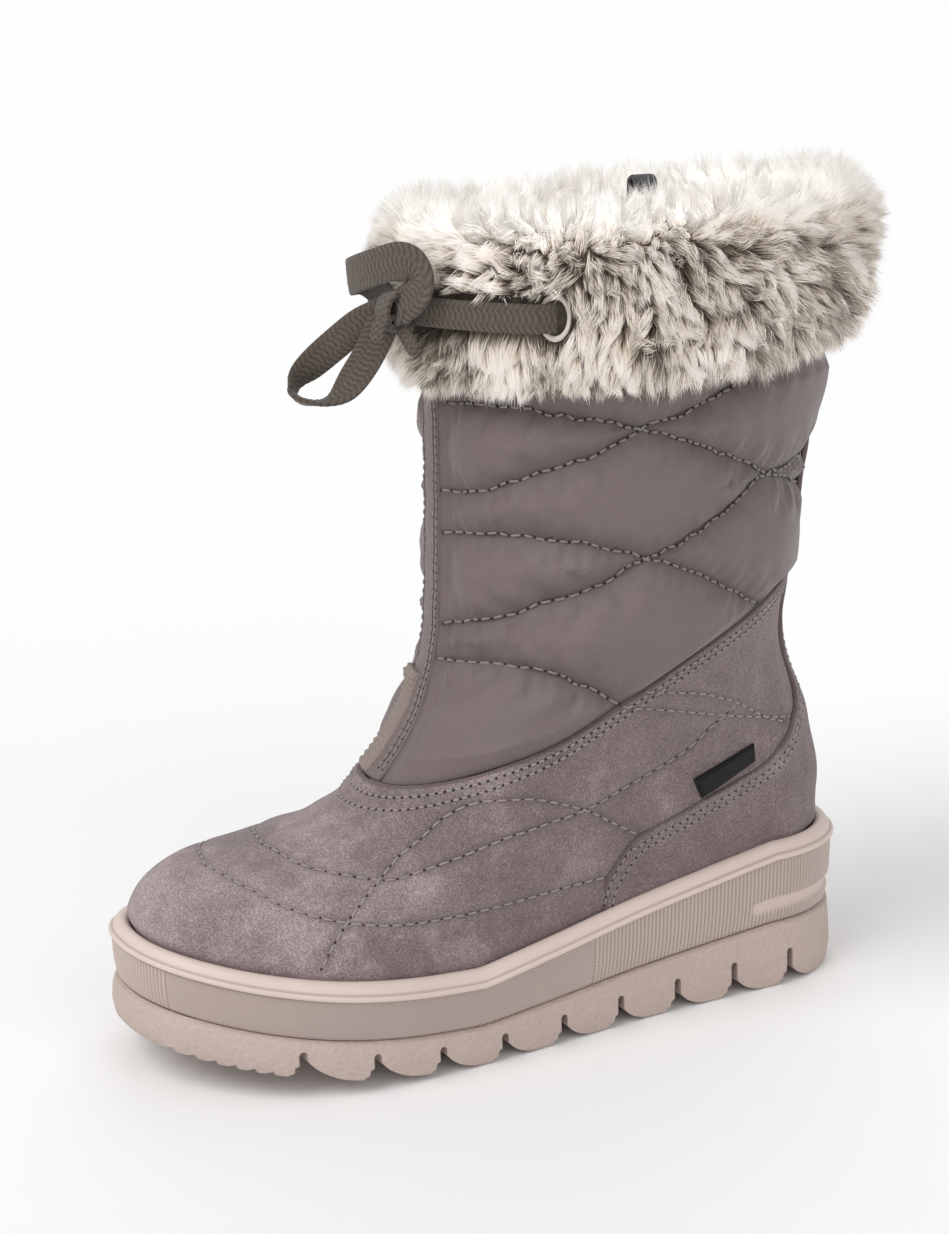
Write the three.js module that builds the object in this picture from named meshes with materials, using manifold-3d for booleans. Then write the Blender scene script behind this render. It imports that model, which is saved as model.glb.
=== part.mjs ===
// A child's left snow boot: moulded sole with deep lugs, suede foot, quilted shaft, fur cuff and a flat lace.
// Millimetres, +Z up. The toe points along -Y and the outer side of the foot is +X.
// The origin lies on the floor under the middle of the heel.
import * as THREE from 'three';
import { LoftGeometry } from 'three/addons/geometries/LoftGeometry.js';
import { mergeVertices } from 'three/addons/utils/BufferGeometryUtils.js';
import Module from 'manifold-3d';

const wasm = await Module();
wasm.setup();

// ---- driving dimensions ----
const SOLE_LENGTH = 240;
const HEEL_BACK = 40;
const TOE_TIP = HEEL_BACK - SOLE_LENGTH;
const GAP = 0.3;

// heights of the sole's ridge, of the foot of its side band and of the tops of the slots between lugs
const RIDGE = { heel: 44.5, ball: 26.5 };
const BAND_FOOT = { heel: 21, ball: 11.8 };
const SLOT_TOP = { heel: 12, ball: 8.5 };
const TOE_SPRING = 14.5;
const SPRING_STARTS = 0.58;
const SPRING_POWER = 1.6;
const HEEL_SEAT_ENDS = 0.15;
const BALL_STARTS = 0.6;

// the rim: a rounded lip that holds the foot of the upper
const RIM_WIDTH = 6.4;
const RIM_CREST = 2.6;
const RIM_INNER = 1.6;
const CUP_DEPTH = 8;

// walls and layers
const UPPER_WALL = 4;
const INSOLE_THICKNESS = 4;
const COUNTER_THICKNESS = 1.5;
const TAB_THICKNESS = 1;

// lugs
const LUG_PITCH = 21.5;
const FIRST_SLOT_Y = -162;
const SLOT_COUNT = 9;
const SLOT_WIDTH = 2.6;
const LUG_NOSE = { length: 8, height: 5 };
const CENTRE_CHANNEL = { width: 9, depth: 6, from: -150, to: -25 };

// fur cuff: its foot and top edges rise towards the back
const CUFF_FOOT = { front: 199, back: 209 };
const CUFF_TOP = { front: 246, back: 251 };
const CUFF_OUT = 12.5;
const CUFF_LINING = 9;
const SHAFT_TOP = 226;

// lace: a flat braid that leaves an eyelet on each side of the cuff and is tied in a bow at the front
const LACE = { width: 8.4, thickness: 2, tipWidth: 5 };
const LACE_HEIGHT = 221;
const EYELET_Y = -78;
const EYELET = { halfWidth: 4, halfHeight: 6, tube: 0.6, seat: 9.4, pocketRim: 2.4 };
const KNOT = { x: 11, y: -116.2, z: 220.5, halfWidth: 8, halfDepth: 5, halfHeight: 6.5 };

// mesh fineness
const HALF_STATIONS = 20;
const RINGS_PER_ROW = 1.4;
const EDGE_STEPS = 2;
const BAR_STEPS = 16;
const LOOP_STEPS = 23;
const END_STEPS = 5;

// rows of numbers under named columns
const table = (names, rows) => rows.map((row) => Object.fromEntries(names.map((name, i) => [name, row[i]])));

// ---- the sole's outline ----
// along is the share of the length from the toe; outer and inner are half widths before the ends are rounded
const OUTLINE = table(['along', 'outer', 'inner'], [
  [0.00, 37.0, 45.0],
  [0.12, 41.5, 48.0],
  [0.25, 46.0, 46.5],
  [0.36, 45.0, 41.0],
  [0.50, 41.5, 33.0],
  [0.64, 37.0, 30.5],
  [0.80, 34.5, 32.5],
  [1.00, 33.0, 32.0],
]);
const TOE_ROUND = { length: 53, power: 2.2 };
const HEEL_ROUND = { length: 36, power: 2.2 };

// ---- the last ----
// One row for each section, from the sole line up over toe, vamp, throat, instep and ankle to the collar.
// Each section runs from a front point to a back point. foot is its share of the sole's outline, and the rest
// is the oval of the leg, leg wide to each side. inset narrows its front half, and the last two columns are
// the lengths over which its ends close.
const LAST_ENDS = ['frontY', 'frontZ', 'backY', 'backZ'];
const LAST_SHAPE = ['foot', 'inset', 'leg', 'frontRound', 'backRound'];
const LAST = table([...LAST_ENDS, ...LAST_SHAPE], [
  [-192.5, 41, 32.5, 46, 1, 0, 40, 48, 32],
  [-193.5, 46, 32.5, 53, 1, 0, 40, 50, 33],
  [-190.5, 53, 33, 61, 1, 1, 40, 54, 34],
  [-181, 59, 32, 69, 1, 3, 40, 60, 35],
  [-165, 62.5, 30, 77, 1, 5.5, 40, 68, 36],
  [-148, 66, 27.5, 86, 0.92, 7, 40, 72, 38],
  [-133, 70.5, 24, 94, 0.75, 7, 40, 70, 42],
  [-121, 79, 20.5, 102, 0.52, 5, 41, 66, 47],
  [-110, 91, 18, 110, 0.3, 3, 42, 62, 52],
  [-102, 105, 17.5, 119, 0.12, 1, 43.5, 60, 57],
  [-98, 122, 18.5, 131, 0, 0, 45, 58, 58],
  [-97, 150, 21.5, 152, 0, 0, 46, 59, 59],
  [-97, 180, 26, 180, 0, 0, 47.5, 61, 61],
  [-98, 206, 30, 206, 0, 0, 49, 64, 64],
  [-99, 254, 32, 254, 0, 0, 51, 66, 66],
]);

// the side view of the suede's upper edge, from the front of the instep to the back of the heel
const SUEDE_EDGE = table(['y', 'z'], [
  [-140, 77], [-121, 79], [-108, 82], [-92, 87], [-75, 93.5], [-56, 104], [-31, 118], [-6, 128], [10, 132],
  [60, 136],
]);
// the side view of the heel counter's front edge, from the sole up to the back stay
const COUNTER_EDGE = table(['y', 'z'], [
  [-60, 20], [-60, 38], [-57, 47], [-51, 54], [-45, 58], [-33, 61.5], [-22, 65], [-1, 72], [8, 77], [14, 83],
  [17.5, 91], [16.5, 98], [13.5, 106], [12.7, 114], [13.9, 124],
]);
const BACK_STAY = { halfWidth: 17, from: 118 };

// the side view of the flag label sewn in above the counter's edge
const LABEL = table(['y', 'z'], [[-25, 72.5], [-3, 80.5], [-2, 74.5], [-22, 66]]);

// the webbing loop inside the collar, on the side away from the label
const PULL_LOOP = { x: -32.2, y: -9, width: 8, span: 6, thickness: 1.6, foot: 236, top: 252 };

// the bow: the middle line of each loop and end, and the direction in which the braid's width lies along it
const BRAID = ['x', 'y', 'z', 'acrossX', 'acrossY', 'acrossZ'];
const UPPER_LOOP = table(BRAID, [
  [10, -117, 222, -0.3, 0, 0.95], [3, -117, 226, -0.3, 0, 0.95], [-4, -116.6, 229, -0.3, 0, 0.95],
  [-9.5, -116.8, 231, -0.3, 0, 0.95], [-11, -118.6, 231.5, -0.25, 0, 0.95],
  [-8.5, -120.6, 232.5, -0.2, 0, 0.97], [-1, -121, 234, -0.2, 0, 0.97], [8, -119.6, 235.5, -0.15, 0, 0.98],
  [15.5, -116.6, 235.8, 0, 0, 1], [21, -114, 233.8, 0.5, 0.1, 0.8], [23, -113, 229.5, 0.9, 0.2, 0.2],
  [20.5, -114.2, 225.3, 0.8, 0.2, -0.5], [15, -116.5, 222, 0.5, 0, -0.8],
]);
const LOWER_LOOP = table(BRAID, [
  [7, -118, 219.5, -0.49, -0.53, 0.7], [1.5, -122.5, 216, -0.49, -0.53, 0.7],
  [-3.5, -128, 210, -0.4, -0.6, 0.7], [-7.5, -133.5, 204, 0, -0.7, 0.7],
  [-9.8, -137.5, 199.3, 0.5, -0.6, 0.5], [-9, -139, 195.8, 0.8, -0.5, 0.3],
  [-4.8, -137.5, 194, 0.85, -0.45, 0.26], [-0.6, -133, 194.2, 0.85, -0.2, 0.1],
  [2.6, -128, 198, 0.8, 0.3, -0.2], [5.4, -123.6, 205, 0.6, 0.7, -0.4],
  [7.8, -120.6, 212, 0.52, 0.71, -0.45], [9, -118.6, 217.5, 0.52, 0.71, -0.4],
]);
const FRONT_END = table(BRAID, [
  [12, -118.5, 219.5, 0.9, 0.4, 0], [13.2, -121.6, 218, 0.9, 0.4, 0],
  [13.8, -122.8, 215.5, 0.9, 0.4, 0], [13.8, -123, 212.5, 0.9, 0.4, 0],
]);
const BACK_END = table(BRAID, [
  [13, -115.5, 217.5, 0.9, 0.3, 0.5], [16.5, -114.6, 213, 0.9, 0.3, 0.5],
  [19.5, -113.6, 209.5, 0.9, 0.3, 0.5],
]);

// ---- small helpers ----
const clamp = (v, low = 0, high = 1) => Math.min(high, Math.max(low, v));
const mix = (a, b, share) => a + (b - a) * share;
const vec = (x, y, z) => new THREE.Vector3(x, y, z);

// reads one column of a table at a place along it, on a smooth curve through the rows
function column(rows, key, at) {
  const i = clamp(Math.floor(at), 0, rows.length - 2);
  const u = clamp(at - i);
  const value = (j) => rows[clamp(j, 0, rows.length - 1)][key];
  const [a, b, c, d] = [value(i - 1), value(i), value(i + 1), value(i + 2)];
  const slope1 = (c - a) / 2;
  const slope2 = (d - b) / 2;
  return (2 * u ** 3 - 3 * u ** 2 + 1) * b + (u ** 3 - 2 * u ** 2 + u) * slope1
    + (3 * u ** 2 - 2 * u ** 3) * c + (u ** 3 - u ** 2) * slope2;
}

// where a value falls along a rising column, as a row number with a fraction
function rowAt(rows, key, value) {
  let i = 0;
  while (i < rows.length - 2 && rows[i + 1][key] < value) i += 1;
  return i + clamp((value - rows[i][key]) / (rows[i + 1][key] - rows[i][key]));
}

// a side-view line with a smooth curve drawn through its points
function smoothLine(rows) {
  const steps = EDGE_STEPS * (rows.length - 1);
  return Array.from({ length: steps + 1 }, (_, i) => {
    const at = i / EDGE_STEPS;
    return { y: column(rows, 'y', at), z: column(rows, 'z', at) };
  });
}

// a quarter of a superellipse: 0 at the tip, 1 from the given length on
function roundEnd(distance, length, power) {
  const rest = clamp(1 - distance / length);
  return (1 - rest ** power) ** (1 / power);
}

// ---- the sole's surfaces ----
const fromToe = (y) => clamp((y - TOE_TIP) / SOLE_LENGTH);

function toeSpring(y) {
  const past = clamp((1 - fromToe(y) - SPRING_STARTS) / (1 - SPRING_STARTS));
  return TOE_SPRING * past ** SPRING_POWER;
}

// a height that falls from the heel to the ball, and rises again with the toe spring
function soleHeight(heights, y) {
  const fall = clamp((1 - fromToe(y) - HEEL_SEAT_ENDS) / (BALL_STARTS - HEEL_SEAT_ENDS));
  return mix(heights.heel, heights.ball, fall) + toeSpring(y);
}
const ridge = (y) => soleHeight(RIDGE, y);
const bandFoot = (y) => soleHeight(BAND_FOOT, y);
const slotTop = (y) => soleHeight(SLOT_TOP, y);
const cupFloor = (y) => ridge(y) + RIM_INNER - CUP_DEPTH;

function plainHalfWidth(side, y) {
  return column(OUTLINE, side, rowAt(OUTLINE, 'along', fromToe(y)));
}

// the points of one side run from the toe to the heel, and the other side brings them back
const STATIONS = 2 * HALF_STATIONS;
function stationShare(k) {
  const u = k <= HALF_STATIONS ? k : STATIONS - k;
  return { share: (1 - Math.cos(Math.PI * u / HALF_STATIONS)) / 2, outer: k <= HALF_STATIONS };
}

// a closed ring from a front and a back point, with half widths given along it
function ringPoint(k, frontY, backY, halfWidth) {
  const { share, outer } = stationShare(k);
  const y = mix(frontY, backY, share);
  const centre = (halfWidth('outer', y) - halfWidth('inner', y)) / 2;
  const half = (halfWidth('outer', y) + halfWidth('inner', y)) / 2;
  return { y, centre, half, outer };
}

function soleRing(offset, height) {
  const outline = [];
  for (let k = 0; k < STATIONS; k += 1) {
    const p = ringPoint(k, TOE_TIP, HEEL_BACK, plainHalfWidth);
    const round = roundEnd(p.y - TOE_TIP, TOE_ROUND.length, TOE_ROUND.power)
      * roundEnd(HEEL_BACK - p.y, HEEL_ROUND.length, HEEL_ROUND.power);
    outline.push(vec(p.centre + (p.outer ? 1 : -1) * p.half * round, p.y, 0));
  }
  return outline.map((p, k) => {
    const before = outline[(k + STATIONS - 1) % STATIONS];
    const after = outline[(k + 1) % STATIONS];
    const along = after.clone().sub(before).normalize();
    const moved = p.clone().addScaledVector(vec(along.y, -along.x, 0), offset);
    moved.z = height(moved.y);
    return moved;
  });
}

// ---- the upper's surface ----
const LAST_ROW = LAST.length - 1;

function bareUpperPoint(level, k) {
  const row = (key) => column(LAST, key, level);
  const frontY = row('frontY');
  const backY = row('backY');
  const foot = clamp(row('foot'));
  const inset = row('inset');
  const leg = row('leg');
  const halfWidth = (side, y) => {
    const forward = clamp(1 - 2 * (y - frontY) / (backY - frontY));
    return mix(leg, plainHalfWidth(side, y) - RIM_WIDTH - GAP - inset * forward, foot);
  };
  const p = ringPoint(k, frontY, backY, halfWidth);
  const round = roundEnd(p.y - frontY, row('frontRound'), mix(2, TOE_ROUND.power, foot))
    * roundEnd(backY - p.y, row('backRound'), mix(2, HEEL_ROUND.power, foot));
  const share = (p.y - frontY) / (backY - frontY);
  const straight = mix(row('frontZ'), row('backZ'), share);
  const liftFront = row('frontZ') - ridge(frontY);
  const liftBack = row('backZ') - ridge(backY);
  const bent = ridge(p.y) + mix(liftFront, liftBack, share);
  return vec(p.centre + (p.outer ? 1 : -1) * p.half * round, p.y, mix(straight, bent, foot));
}

// the same point moved out along the surface's normal
function upperPoint(level, k, offset) {
  const step = 0.05;
  const point = bareUpperPoint(level, k);
  const before = bareUpperPoint(level, (k + STATIONS - 4 * step) % STATIONS);
  const across = bareUpperPoint(level, (k + 4 * step) % STATIONS).sub(before);
  const low = bareUpperPoint(Math.max(0, level - step), k);
  const up = bareUpperPoint(Math.min(LAST_ROW, level + step), k).sub(low);
  const normal = across.cross(up).normalize();
  return point.addScaledVector(normal, offset);
}

function upperRing(level, offset) {
  return Array.from({ length: STATIONS }, (_, k) => upperPoint(level, k, offset));
}

// the level whose ring lies at a height on the shaft, found by halving
function levelAtHeight(z) {
  let [low, high] = [0, LAST_ROW];
  for (let i = 0; i < 30; i += 1) {
    const middle = (low + high) / 2;
    if (column(LAST, 'frontZ', middle) < z) low = middle;
    else high = middle;
  }
  return (low + high) / 2;
}

// ---- meshes and solids ----
// quads between rings of equal length; the last ring joins the first when the form is a loop
function ringSkin(rings, loop) {
  const n = rings[0].length;
  const triangles = [];
  const rows = loop ? rings.length : rings.length - 1;
  for (let i = 0; i < rows; i += 1) {
    const next = (i + 1) % rings.length;
    for (let k = 0; k < n; k += 1) {
      const a = i * n + k;
      const b = i * n + (k + 1) % n;
      const c = next * n + (k + 1) % n;
      const d = next * n + k;
      triangles.push(a, b, c, a, c, d);
    }
  }
  return triangles;
}

// closes a ring by joining each station to the one across it
function crossCap(first, n, up) {
  const triangles = [];
  for (let k = 0; k < n / 2; k += 1) {
    const a = first + k;
    const b = first + k + 1;
    const c = first + (n - k - 1) % n;
    const d = first + (n - k) % n;
    const pair = [[a, b, c], [a, c, d]].filter((t) => new Set(t).size === 3);
    for (const t of pair) triangles.push(...(up ? t : [t[0], t[2], t[1]]));
  }
  return triangles;
}

function toGeometry(points, triangles) {
  const geometry = new THREE.BufferGeometry();
  const values = points.flatMap((p) => [p.x, p.y, p.z]);
  geometry.setAttribute('position', new THREE.Float32BufferAttribute(values, 3));
  geometry.setIndex(triangles);
  return geometry;
}

function toSolid(geometry) {
  const bare = new THREE.BufferGeometry();
  bare.setAttribute('position', geometry.attributes.position);
  bare.setIndex(geometry.index);
  const merged = mergeVertices(bare, 1e-4);
  return new wasm.Manifold(new wasm.Mesh({
    numProp: 3,
    vertProperties: merged.attributes.position.array,
    triVerts: new Uint32Array(merged.index.array),
  }));
}

// rings stacked from the bottom up, closed at both ends
function stackedSolid(rings) {
  const n = rings[0].length;
  const triangles = [
    ...ringSkin(rings, false),
    ...crossCap(0, n, false),
    ...crossCap((rings.length - 1) * n, n, true),
  ];
  return toSolid(toGeometry(rings.flat(), triangles));
}

// rings that go up the outside and down the inside, and meet again
function hollowSolid(rings) {
  return toSolid(toGeometry(rings.flat(), ringSkin(rings, true)));
}

// a side view drawn in y and z, pushed across the whole width
const HALF_SPAN = 90;
function sideSlab(outline) {
  const shape = new THREE.Shape(outline.map((p) => new THREE.Vector2(p.y, p.z)));
  const slab = new THREE.ExtrudeGeometry(shape, { depth: 2 * HALF_SPAN, bevelEnabled: false });
  slab.applyMatrix4(new THREE.Matrix4().makeBasis(vec(0, 1, 0), vec(0, 0, 1), vec(1, 0, 0)));
  slab.translate(-HALF_SPAN, 0, 0);
  return toSolid(slab);
}

function block(width, depth, height, x, y, z) {
  return toSolid(new THREE.BoxGeometry(width, depth, height).translate(x, y, z));
}

const part = new THREE.Group();
function addPart(name, solid, color, roughness) {
  const mesh = solid.getMesh();
  const geometry = new THREE.BufferGeometry();
  geometry.setAttribute('position', new THREE.BufferAttribute(new Float32Array(mesh.vertProperties), 3));
  geometry.setIndex(new THREE.BufferAttribute(new Uint32Array(mesh.triVerts), 1));
  geometry.computeVertexNormals();
  const piece = new THREE.Mesh(geometry, new THREE.MeshStandardMaterial({ color, roughness, metalness: 0 }));
  piece.name = name;
  part.add(piece);
}

const SUEDE = 0x8c8082;
const TEXTILE = 0x756a69;
const RUBBER = 0xc8b9b1;
const TREAD = 0xb0a399;
const FUR = 0xe6ded6;
const LACE_COLOUR = 0x625a54;
const DARK_TAB = 0x1b1a1c;
const EYELET_COLOUR = 0xd8c8c4;
const FELT = 0xb8b0a8;

// the ring on which the wall stands, at a height of its own
function footRing(offset, height) {
  return upperRing(0, offset).map((p) => vec(p.x, p.y, height(p.y)));
}

// ---- midsole: side band and rim, with a cup for the upper ----
// from the foot of the band up to the crest of the rim; above counts from the ridge
const BAND_PROFILE = table(['out', 'above'], [
  [-0.4, -1.2], [0, 0], [-0.5, 1.6], [-2.6, RIM_CREST], [-5, 2.3],
]);

function makeMidsole() {
  return stackedSolid([
    soleRing(-1.2, (y) => bandFoot(y) + GAP / 2),
    soleRing(BAND_PROFILE[0].out, (y) => bandFoot(y) + 2),
    ...BAND_PROFILE.map((row) => soleRing(row.out, (y) => ridge(y) + row.above)),
    footRing(GAP, (y) => ridge(y) + RIM_INNER),
    footRing(GAP, cupFloor),
  ]);
}

// ---- outsole: a plate with lugs cut by slots, and a channel down the middle ----
function slotCutter(y) {
  const top = slotTop(y);
  const floor = toeSpring(y);
  const front = y - SLOT_WIDTH / 2;
  const back = y + SLOT_WIDTH / 2;
  const noseEnd = back + LUG_NOSE.length;
  const nose = new THREE.QuadraticBezierCurve(
    new THREE.Vector2(back, floor + LUG_NOSE.height),
    new THREE.Vector2(back + 0.25 * LUG_NOSE.length, floor + 0.1 * LUG_NOSE.height),
    new THREE.Vector2(noseEnd, toeSpring(noseEnd)),
  ).getPoints(3).map((p) => ({ y: p.x, z: p.y }));
  const below = -5;
  return sideSlab([
    { y: front, z: below }, { y: noseEnd, z: below },
    ...nose.reverse(),
    { y: back, z: top - 1 }, { y, z: top }, { y: front, z: top - 1 },
  ]);
}

function makeOutsole() {
  const rings = [
    soleRing(-2, (y) => toeSpring(y)),
    soleRing(-0.6, (y) => mix(toeSpring(y), slotTop(y), 0.4)),
    soleRing(-0.8, (y) => slotTop(y)),
    soleRing(-1.2, (y) => bandFoot(y) - GAP / 2),
  ];
  let sole = stackedSolid(rings);
  for (let i = 0; i < SLOT_COUNT; i += 1) sole = sole.subtract(slotCutter(FIRST_SLOT_Y + i * LUG_PITCH));
  const channelLength = CENTRE_CHANNEL.to - CENTRE_CHANNEL.from;
  const middle = (CENTRE_CHANNEL.to + CENTRE_CHANNEL.from) / 2;
  return sole.subtract(block(CENTRE_CHANNEL.width, channelLength, 2 * CENTRE_CHANNEL.depth, 0, middle, 0));
}

// ---- insole: a flat bed inside the upper ----
function makeInsole() {
  const inset = -(UPPER_WALL + GAP);
  return stackedSolid([
    footRing(inset, (y) => cupFloor(y) + GAP),
    footRing(inset, (y) => cupFloor(y) + GAP + INSOLE_THICKNESS),
  ]);
}

// ---- foot and leg in one hollow wall, which the suede's edge then divides ----
function wallLevels(top) {
  const end = levelAtHeight(top);
  const count = Math.round(end * RINGS_PER_ROW);
  return Array.from({ length: count + 1 }, (_, i) => i * end / count);
}

function makeWall() {
  const levels = wallLevels(SHAFT_TOP);
  const outside = levels.map((level) => upperRing(level, 0));
  const inside = levels.map((level) => upperRing(level, -UPPER_WALL)).reverse();
  const stand = (y) => cupFloor(y) + GAP;
  return hollowSolid([footRing(0, stand), ...outside, ...inside, footRing(-UPPER_WALL, stand)]);
}

// the space below a side-view line
function belowLine(line, shift) {
  return sideSlab([
    ...smoothLine(line).map((p) => ({ y: p.y, z: p.z + shift })),
    { y: line[line.length - 1].y, z: -20 }, { y: -260, z: -20 }, { y: -260, z: line[0].z + shift },
  ].reverse());
}

// ---- overlays: cut between two larger forms of the same surface ----
function fullForm(offset) {
  return stackedSolid(wallLevels(SHAFT_TOP).map((level) => upperRing(level, offset)));
}

function makeOverlay(region, thickness) {
  return fullForm(GAP + thickness).subtract(fullForm(GAP)).intersect(region);
}

// the counter stands on the rim, wraps the heel and runs up the back as a narrow stay
function makeCounter() {
  const behind = HEEL_BACK + 20;
  const foot = COUNTER_EDGE[0].z;
  const top = COUNTER_EDGE[COUNTER_EDGE.length - 1].z;
  const line = [...smoothLine(COUNTER_EDGE), { y: behind, z: top }, { y: behind, z: foot }];
  const wrap = sideSlab(line.reverse());
  const stayTop = CUFF_FOOT.back - 1.5;
  const stayHeight = stayTop - BACK_STAY.from;
  const stay = block(2 * BACK_STAY.halfWidth, behind, stayHeight, 0, behind / 2, stayTop - stayHeight / 2);
  const rim = stackedSolid([
    soleRing(2, cupFloor),
    soleRing(2, (y) => ridge(y) + RIM_CREST + GAP),
  ]);
  return makeOverlay(wrap.add(stay), COUNTER_THICKNESS).subtract(rim);
}

// the label is on the outer side only
function makeLabel() {
  const outerHalf = block(HALF_SPAN, 2 * SOLE_LENGTH, 2 * SOLE_LENGTH, HALF_SPAN / 2, 0, 0);
  return makeOverlay(sideSlab(LABEL.toReversed()), TAB_THICKNESS).intersect(outerHalf);
}

// ---- fur cuff: a thick ring with a skirt over the top of the shaft ----
// its section, from the foot up the outside and over the rim: out counts from the leg's surface
const CUFF_SKIRT = table(['out', 'aboveFoot'], [[6.5, -1], [10.5, 5], [CUFF_OUT, 15]]);
const CUFF_RIM = table(['out', 'belowTop'], [
  [CUFF_OUT, 15], [10, 5], [4.5, 0], [-2.5, 1], [-7, 6], [-CUFF_LINING, 13],
]);
const cuffFoot = (share) => mix(CUFF_FOOT.front, CUFF_FOOT.back, share);
const cuffTop = (share) => mix(CUFF_TOP.front, CUFF_TOP.back, share);

// a ring around the leg whose height depends on how far back each station lies
function legRing(offset, height) {
  return Array.from({ length: STATIONS }, (_, k) => {
    const z = height(stationShare(k).share);
    const p = upperPoint(levelAtHeight(z), k, offset);
    return vec(p.x, p.y, z);
  });
}

function makeCuff() {
  const skirt = GAP + COUNTER_THICKNESS + GAP;
  return hollowSolid([
    legRing(skirt, cuffFoot),
    ...CUFF_SKIRT.map((row) => legRing(row.out, (share) => cuffFoot(share) + row.aboveFoot)),
    ...CUFF_RIM.map((row) => legRing(row.out, (share) => cuffTop(share) - row.belowTop)),
    legRing(-CUFF_LINING, () => SHAFT_TOP + 2),
    legRing(-UPPER_WALL, () => SHAFT_TOP + GAP),
    legRing(skirt, () => SHAFT_TOP + GAP),
  ]);
}

// ---- places on the cuff: x runs along the ring, y up and z out ----
const LACE_LEVEL = levelAtHeight(LACE_HEIGHT);
function stationAt(y, side) {
  const frontY = column(LAST, 'frontY', LACE_LEVEL);
  const backY = column(LAST, 'backY', LACE_LEVEL);
  const share = clamp((y - frontY) / (backY - frontY));
  const k = Math.acos(1 - 2 * share) * HALF_STATIONS / Math.PI;
  return side > 0 ? k : STATIONS - k;
}

function cuffFrame(station, out) {
  const k = station % STATIONS;
  const point = upperPoint(LACE_LEVEL, k, out);
  const normal = upperPoint(LACE_LEVEL, k, out + 1).sub(point).setZ(0).normalize();
  const up = vec(0, 0, 1);
  const frame = new THREE.Matrix4().makeBasis(up.clone().cross(normal), up, normal);
  return frame.setPosition(point.x, point.y, LACE_HEIGHT);
}

function makeEyelet(side) {
  const ring = new THREE.TorusGeometry(1, EYELET.tube / EYELET.halfWidth, 6, 18);
  ring.scale(EYELET.halfWidth, EYELET.halfHeight, EYELET.halfWidth);
  return toSolid(ring.applyMatrix4(cuffFrame(stationAt(EYELET_Y, side), EYELET.seat + GAP + EYELET.tube)));
}

// the pocket in the fur that an eyelet is set in
function eyeletSeat(side) {
  const pocket = new THREE.CylinderGeometry(1, 1, 10, 16);
  pocket.rotateX(Math.PI / 2).translate(0, 0, 5);
  pocket.scale(EYELET.halfWidth + EYELET.pocketRim, EYELET.halfHeight + EYELET.pocketRim, 1);
  return toSolid(pocket.applyMatrix4(cuffFrame(stationAt(EYELET_Y, side), EYELET.seat)));
}

// ---- lace: a flat section swept along a line ----
function ribbon(points, width, steps, across) {
  const line = new THREE.CatmullRomCurve3(points, false, 'centripetal');
  const sides = new THREE.CatmullRomCurve3(across, false, 'centripetal');
  const sections = [];
  for (let i = 0; i <= steps; i += 1) {
    const middle = line.getPoint(i / steps);
    const along = line.getTangent(i / steps);
    const wide = sides.getPoint(i / steps);
    wide.addScaledVector(along, -wide.dot(along)).normalize();
    const thick = along.clone().cross(wide);
    const [w, t] = [width / 2, LACE.thickness / 2];
    const corners = [[w, -0.4 * t], [w, 0.4 * t], [0.8 * w, t], [-0.8 * w, t],
      [-w, 0.4 * t], [-w, -0.4 * t], [-0.8 * w, -t], [0.8 * w, -t]];
    sections.push(corners.map(([a, b]) => middle.clone().addScaledVector(wide, a).addScaledVector(thick, b)));
  }
  return toSolid(new LoftGeometry(sections, { capStart: true, capEnd: true }));
}

function looseRibbon(rows, width, steps) {
  const across = rows.map((row) => vec(row.acrossX, row.acrossY, row.acrossZ));
  return ribbon(rows.map((row) => vec(row.x, row.y, row.z)), width, steps, across);
}

function knotForm(grow) {
  const ball = new THREE.SphereGeometry(1, 18, 10);
  ball.scale(KNOT.halfWidth + grow, KNOT.halfDepth + grow, KNOT.halfHeight + grow);
  return toSolid(ball.translate(KNOT.x, KNOT.y, KNOT.z));
}

// from inside the eyelet, over its edge and along the fur to the knot; share is of the way to the knot
const BAR_PATH = table(['share', 'rise'], [
  [0, 0.3], [0.028, 1.6], [0.065, 2.9], [0.11, 3.8], [0.25, 3.8], [0.5, 3.8], [0.75, 4.2], [1, 5.6],
]);
const KNOT_STATION = 1;
function makeBar(side) {
  const from = stationAt(EYELET_Y, side);
  const to = side > 0 ? KNOT_STATION : KNOT_STATION + STATIONS;
  const points = BAR_PATH.map(({ share, rise }) => {
    const frame = cuffFrame(mix(from, to, share), EYELET.seat + LACE.thickness / 2 + rise);
    return vec(0, 0, 0).setFromMatrixPosition(frame);
  });
  return ribbon(points, LACE.width, BAR_STEPS, points.map(() => vec(0, 0, 1)));
}

// ---- pull loop: webbing folded over, sewn inside the collar ----
function makePullLoop() {
  const { x, y, width, span, thickness, foot, top } = PULL_LOOP;
  const bend = span / 2;
  const outside = new THREE.Shape();
  outside.moveTo(-bend, foot);
  outside.lineTo(-bend, top - bend);
  outside.absarc(0, top - bend, bend, Math.PI, 0, true);
  outside.lineTo(bend, foot);
  outside.lineTo(bend - thickness, foot);
  outside.lineTo(bend - thickness, top - bend);
  outside.absarc(0, top - bend, bend - thickness, 0, Math.PI, false);
  outside.lineTo(thickness - bend, foot);
  const loop = new THREE.ExtrudeGeometry(outside, { depth: width, bevelEnabled: false, curveSegments: 8 });
  loop.applyMatrix4(new THREE.Matrix4().makeBasis(vec(1, 0, 0), vec(0, 0, 1), vec(0, -1, 0)));
  return toSolid(loop.translate(x, y + width / 2, 0));
}

const wall = makeWall();
const suedeSpace = belowLine(SUEDE_EDGE, 0);
const suedeSpaceGrown = belowLine(SUEDE_EDGE, GAP);
const counter = makeCounter();
const knot = knotForm(0);
const knotSpace = knotForm(GAP);
const sides = { outer: 1, inner: -1 };

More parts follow.
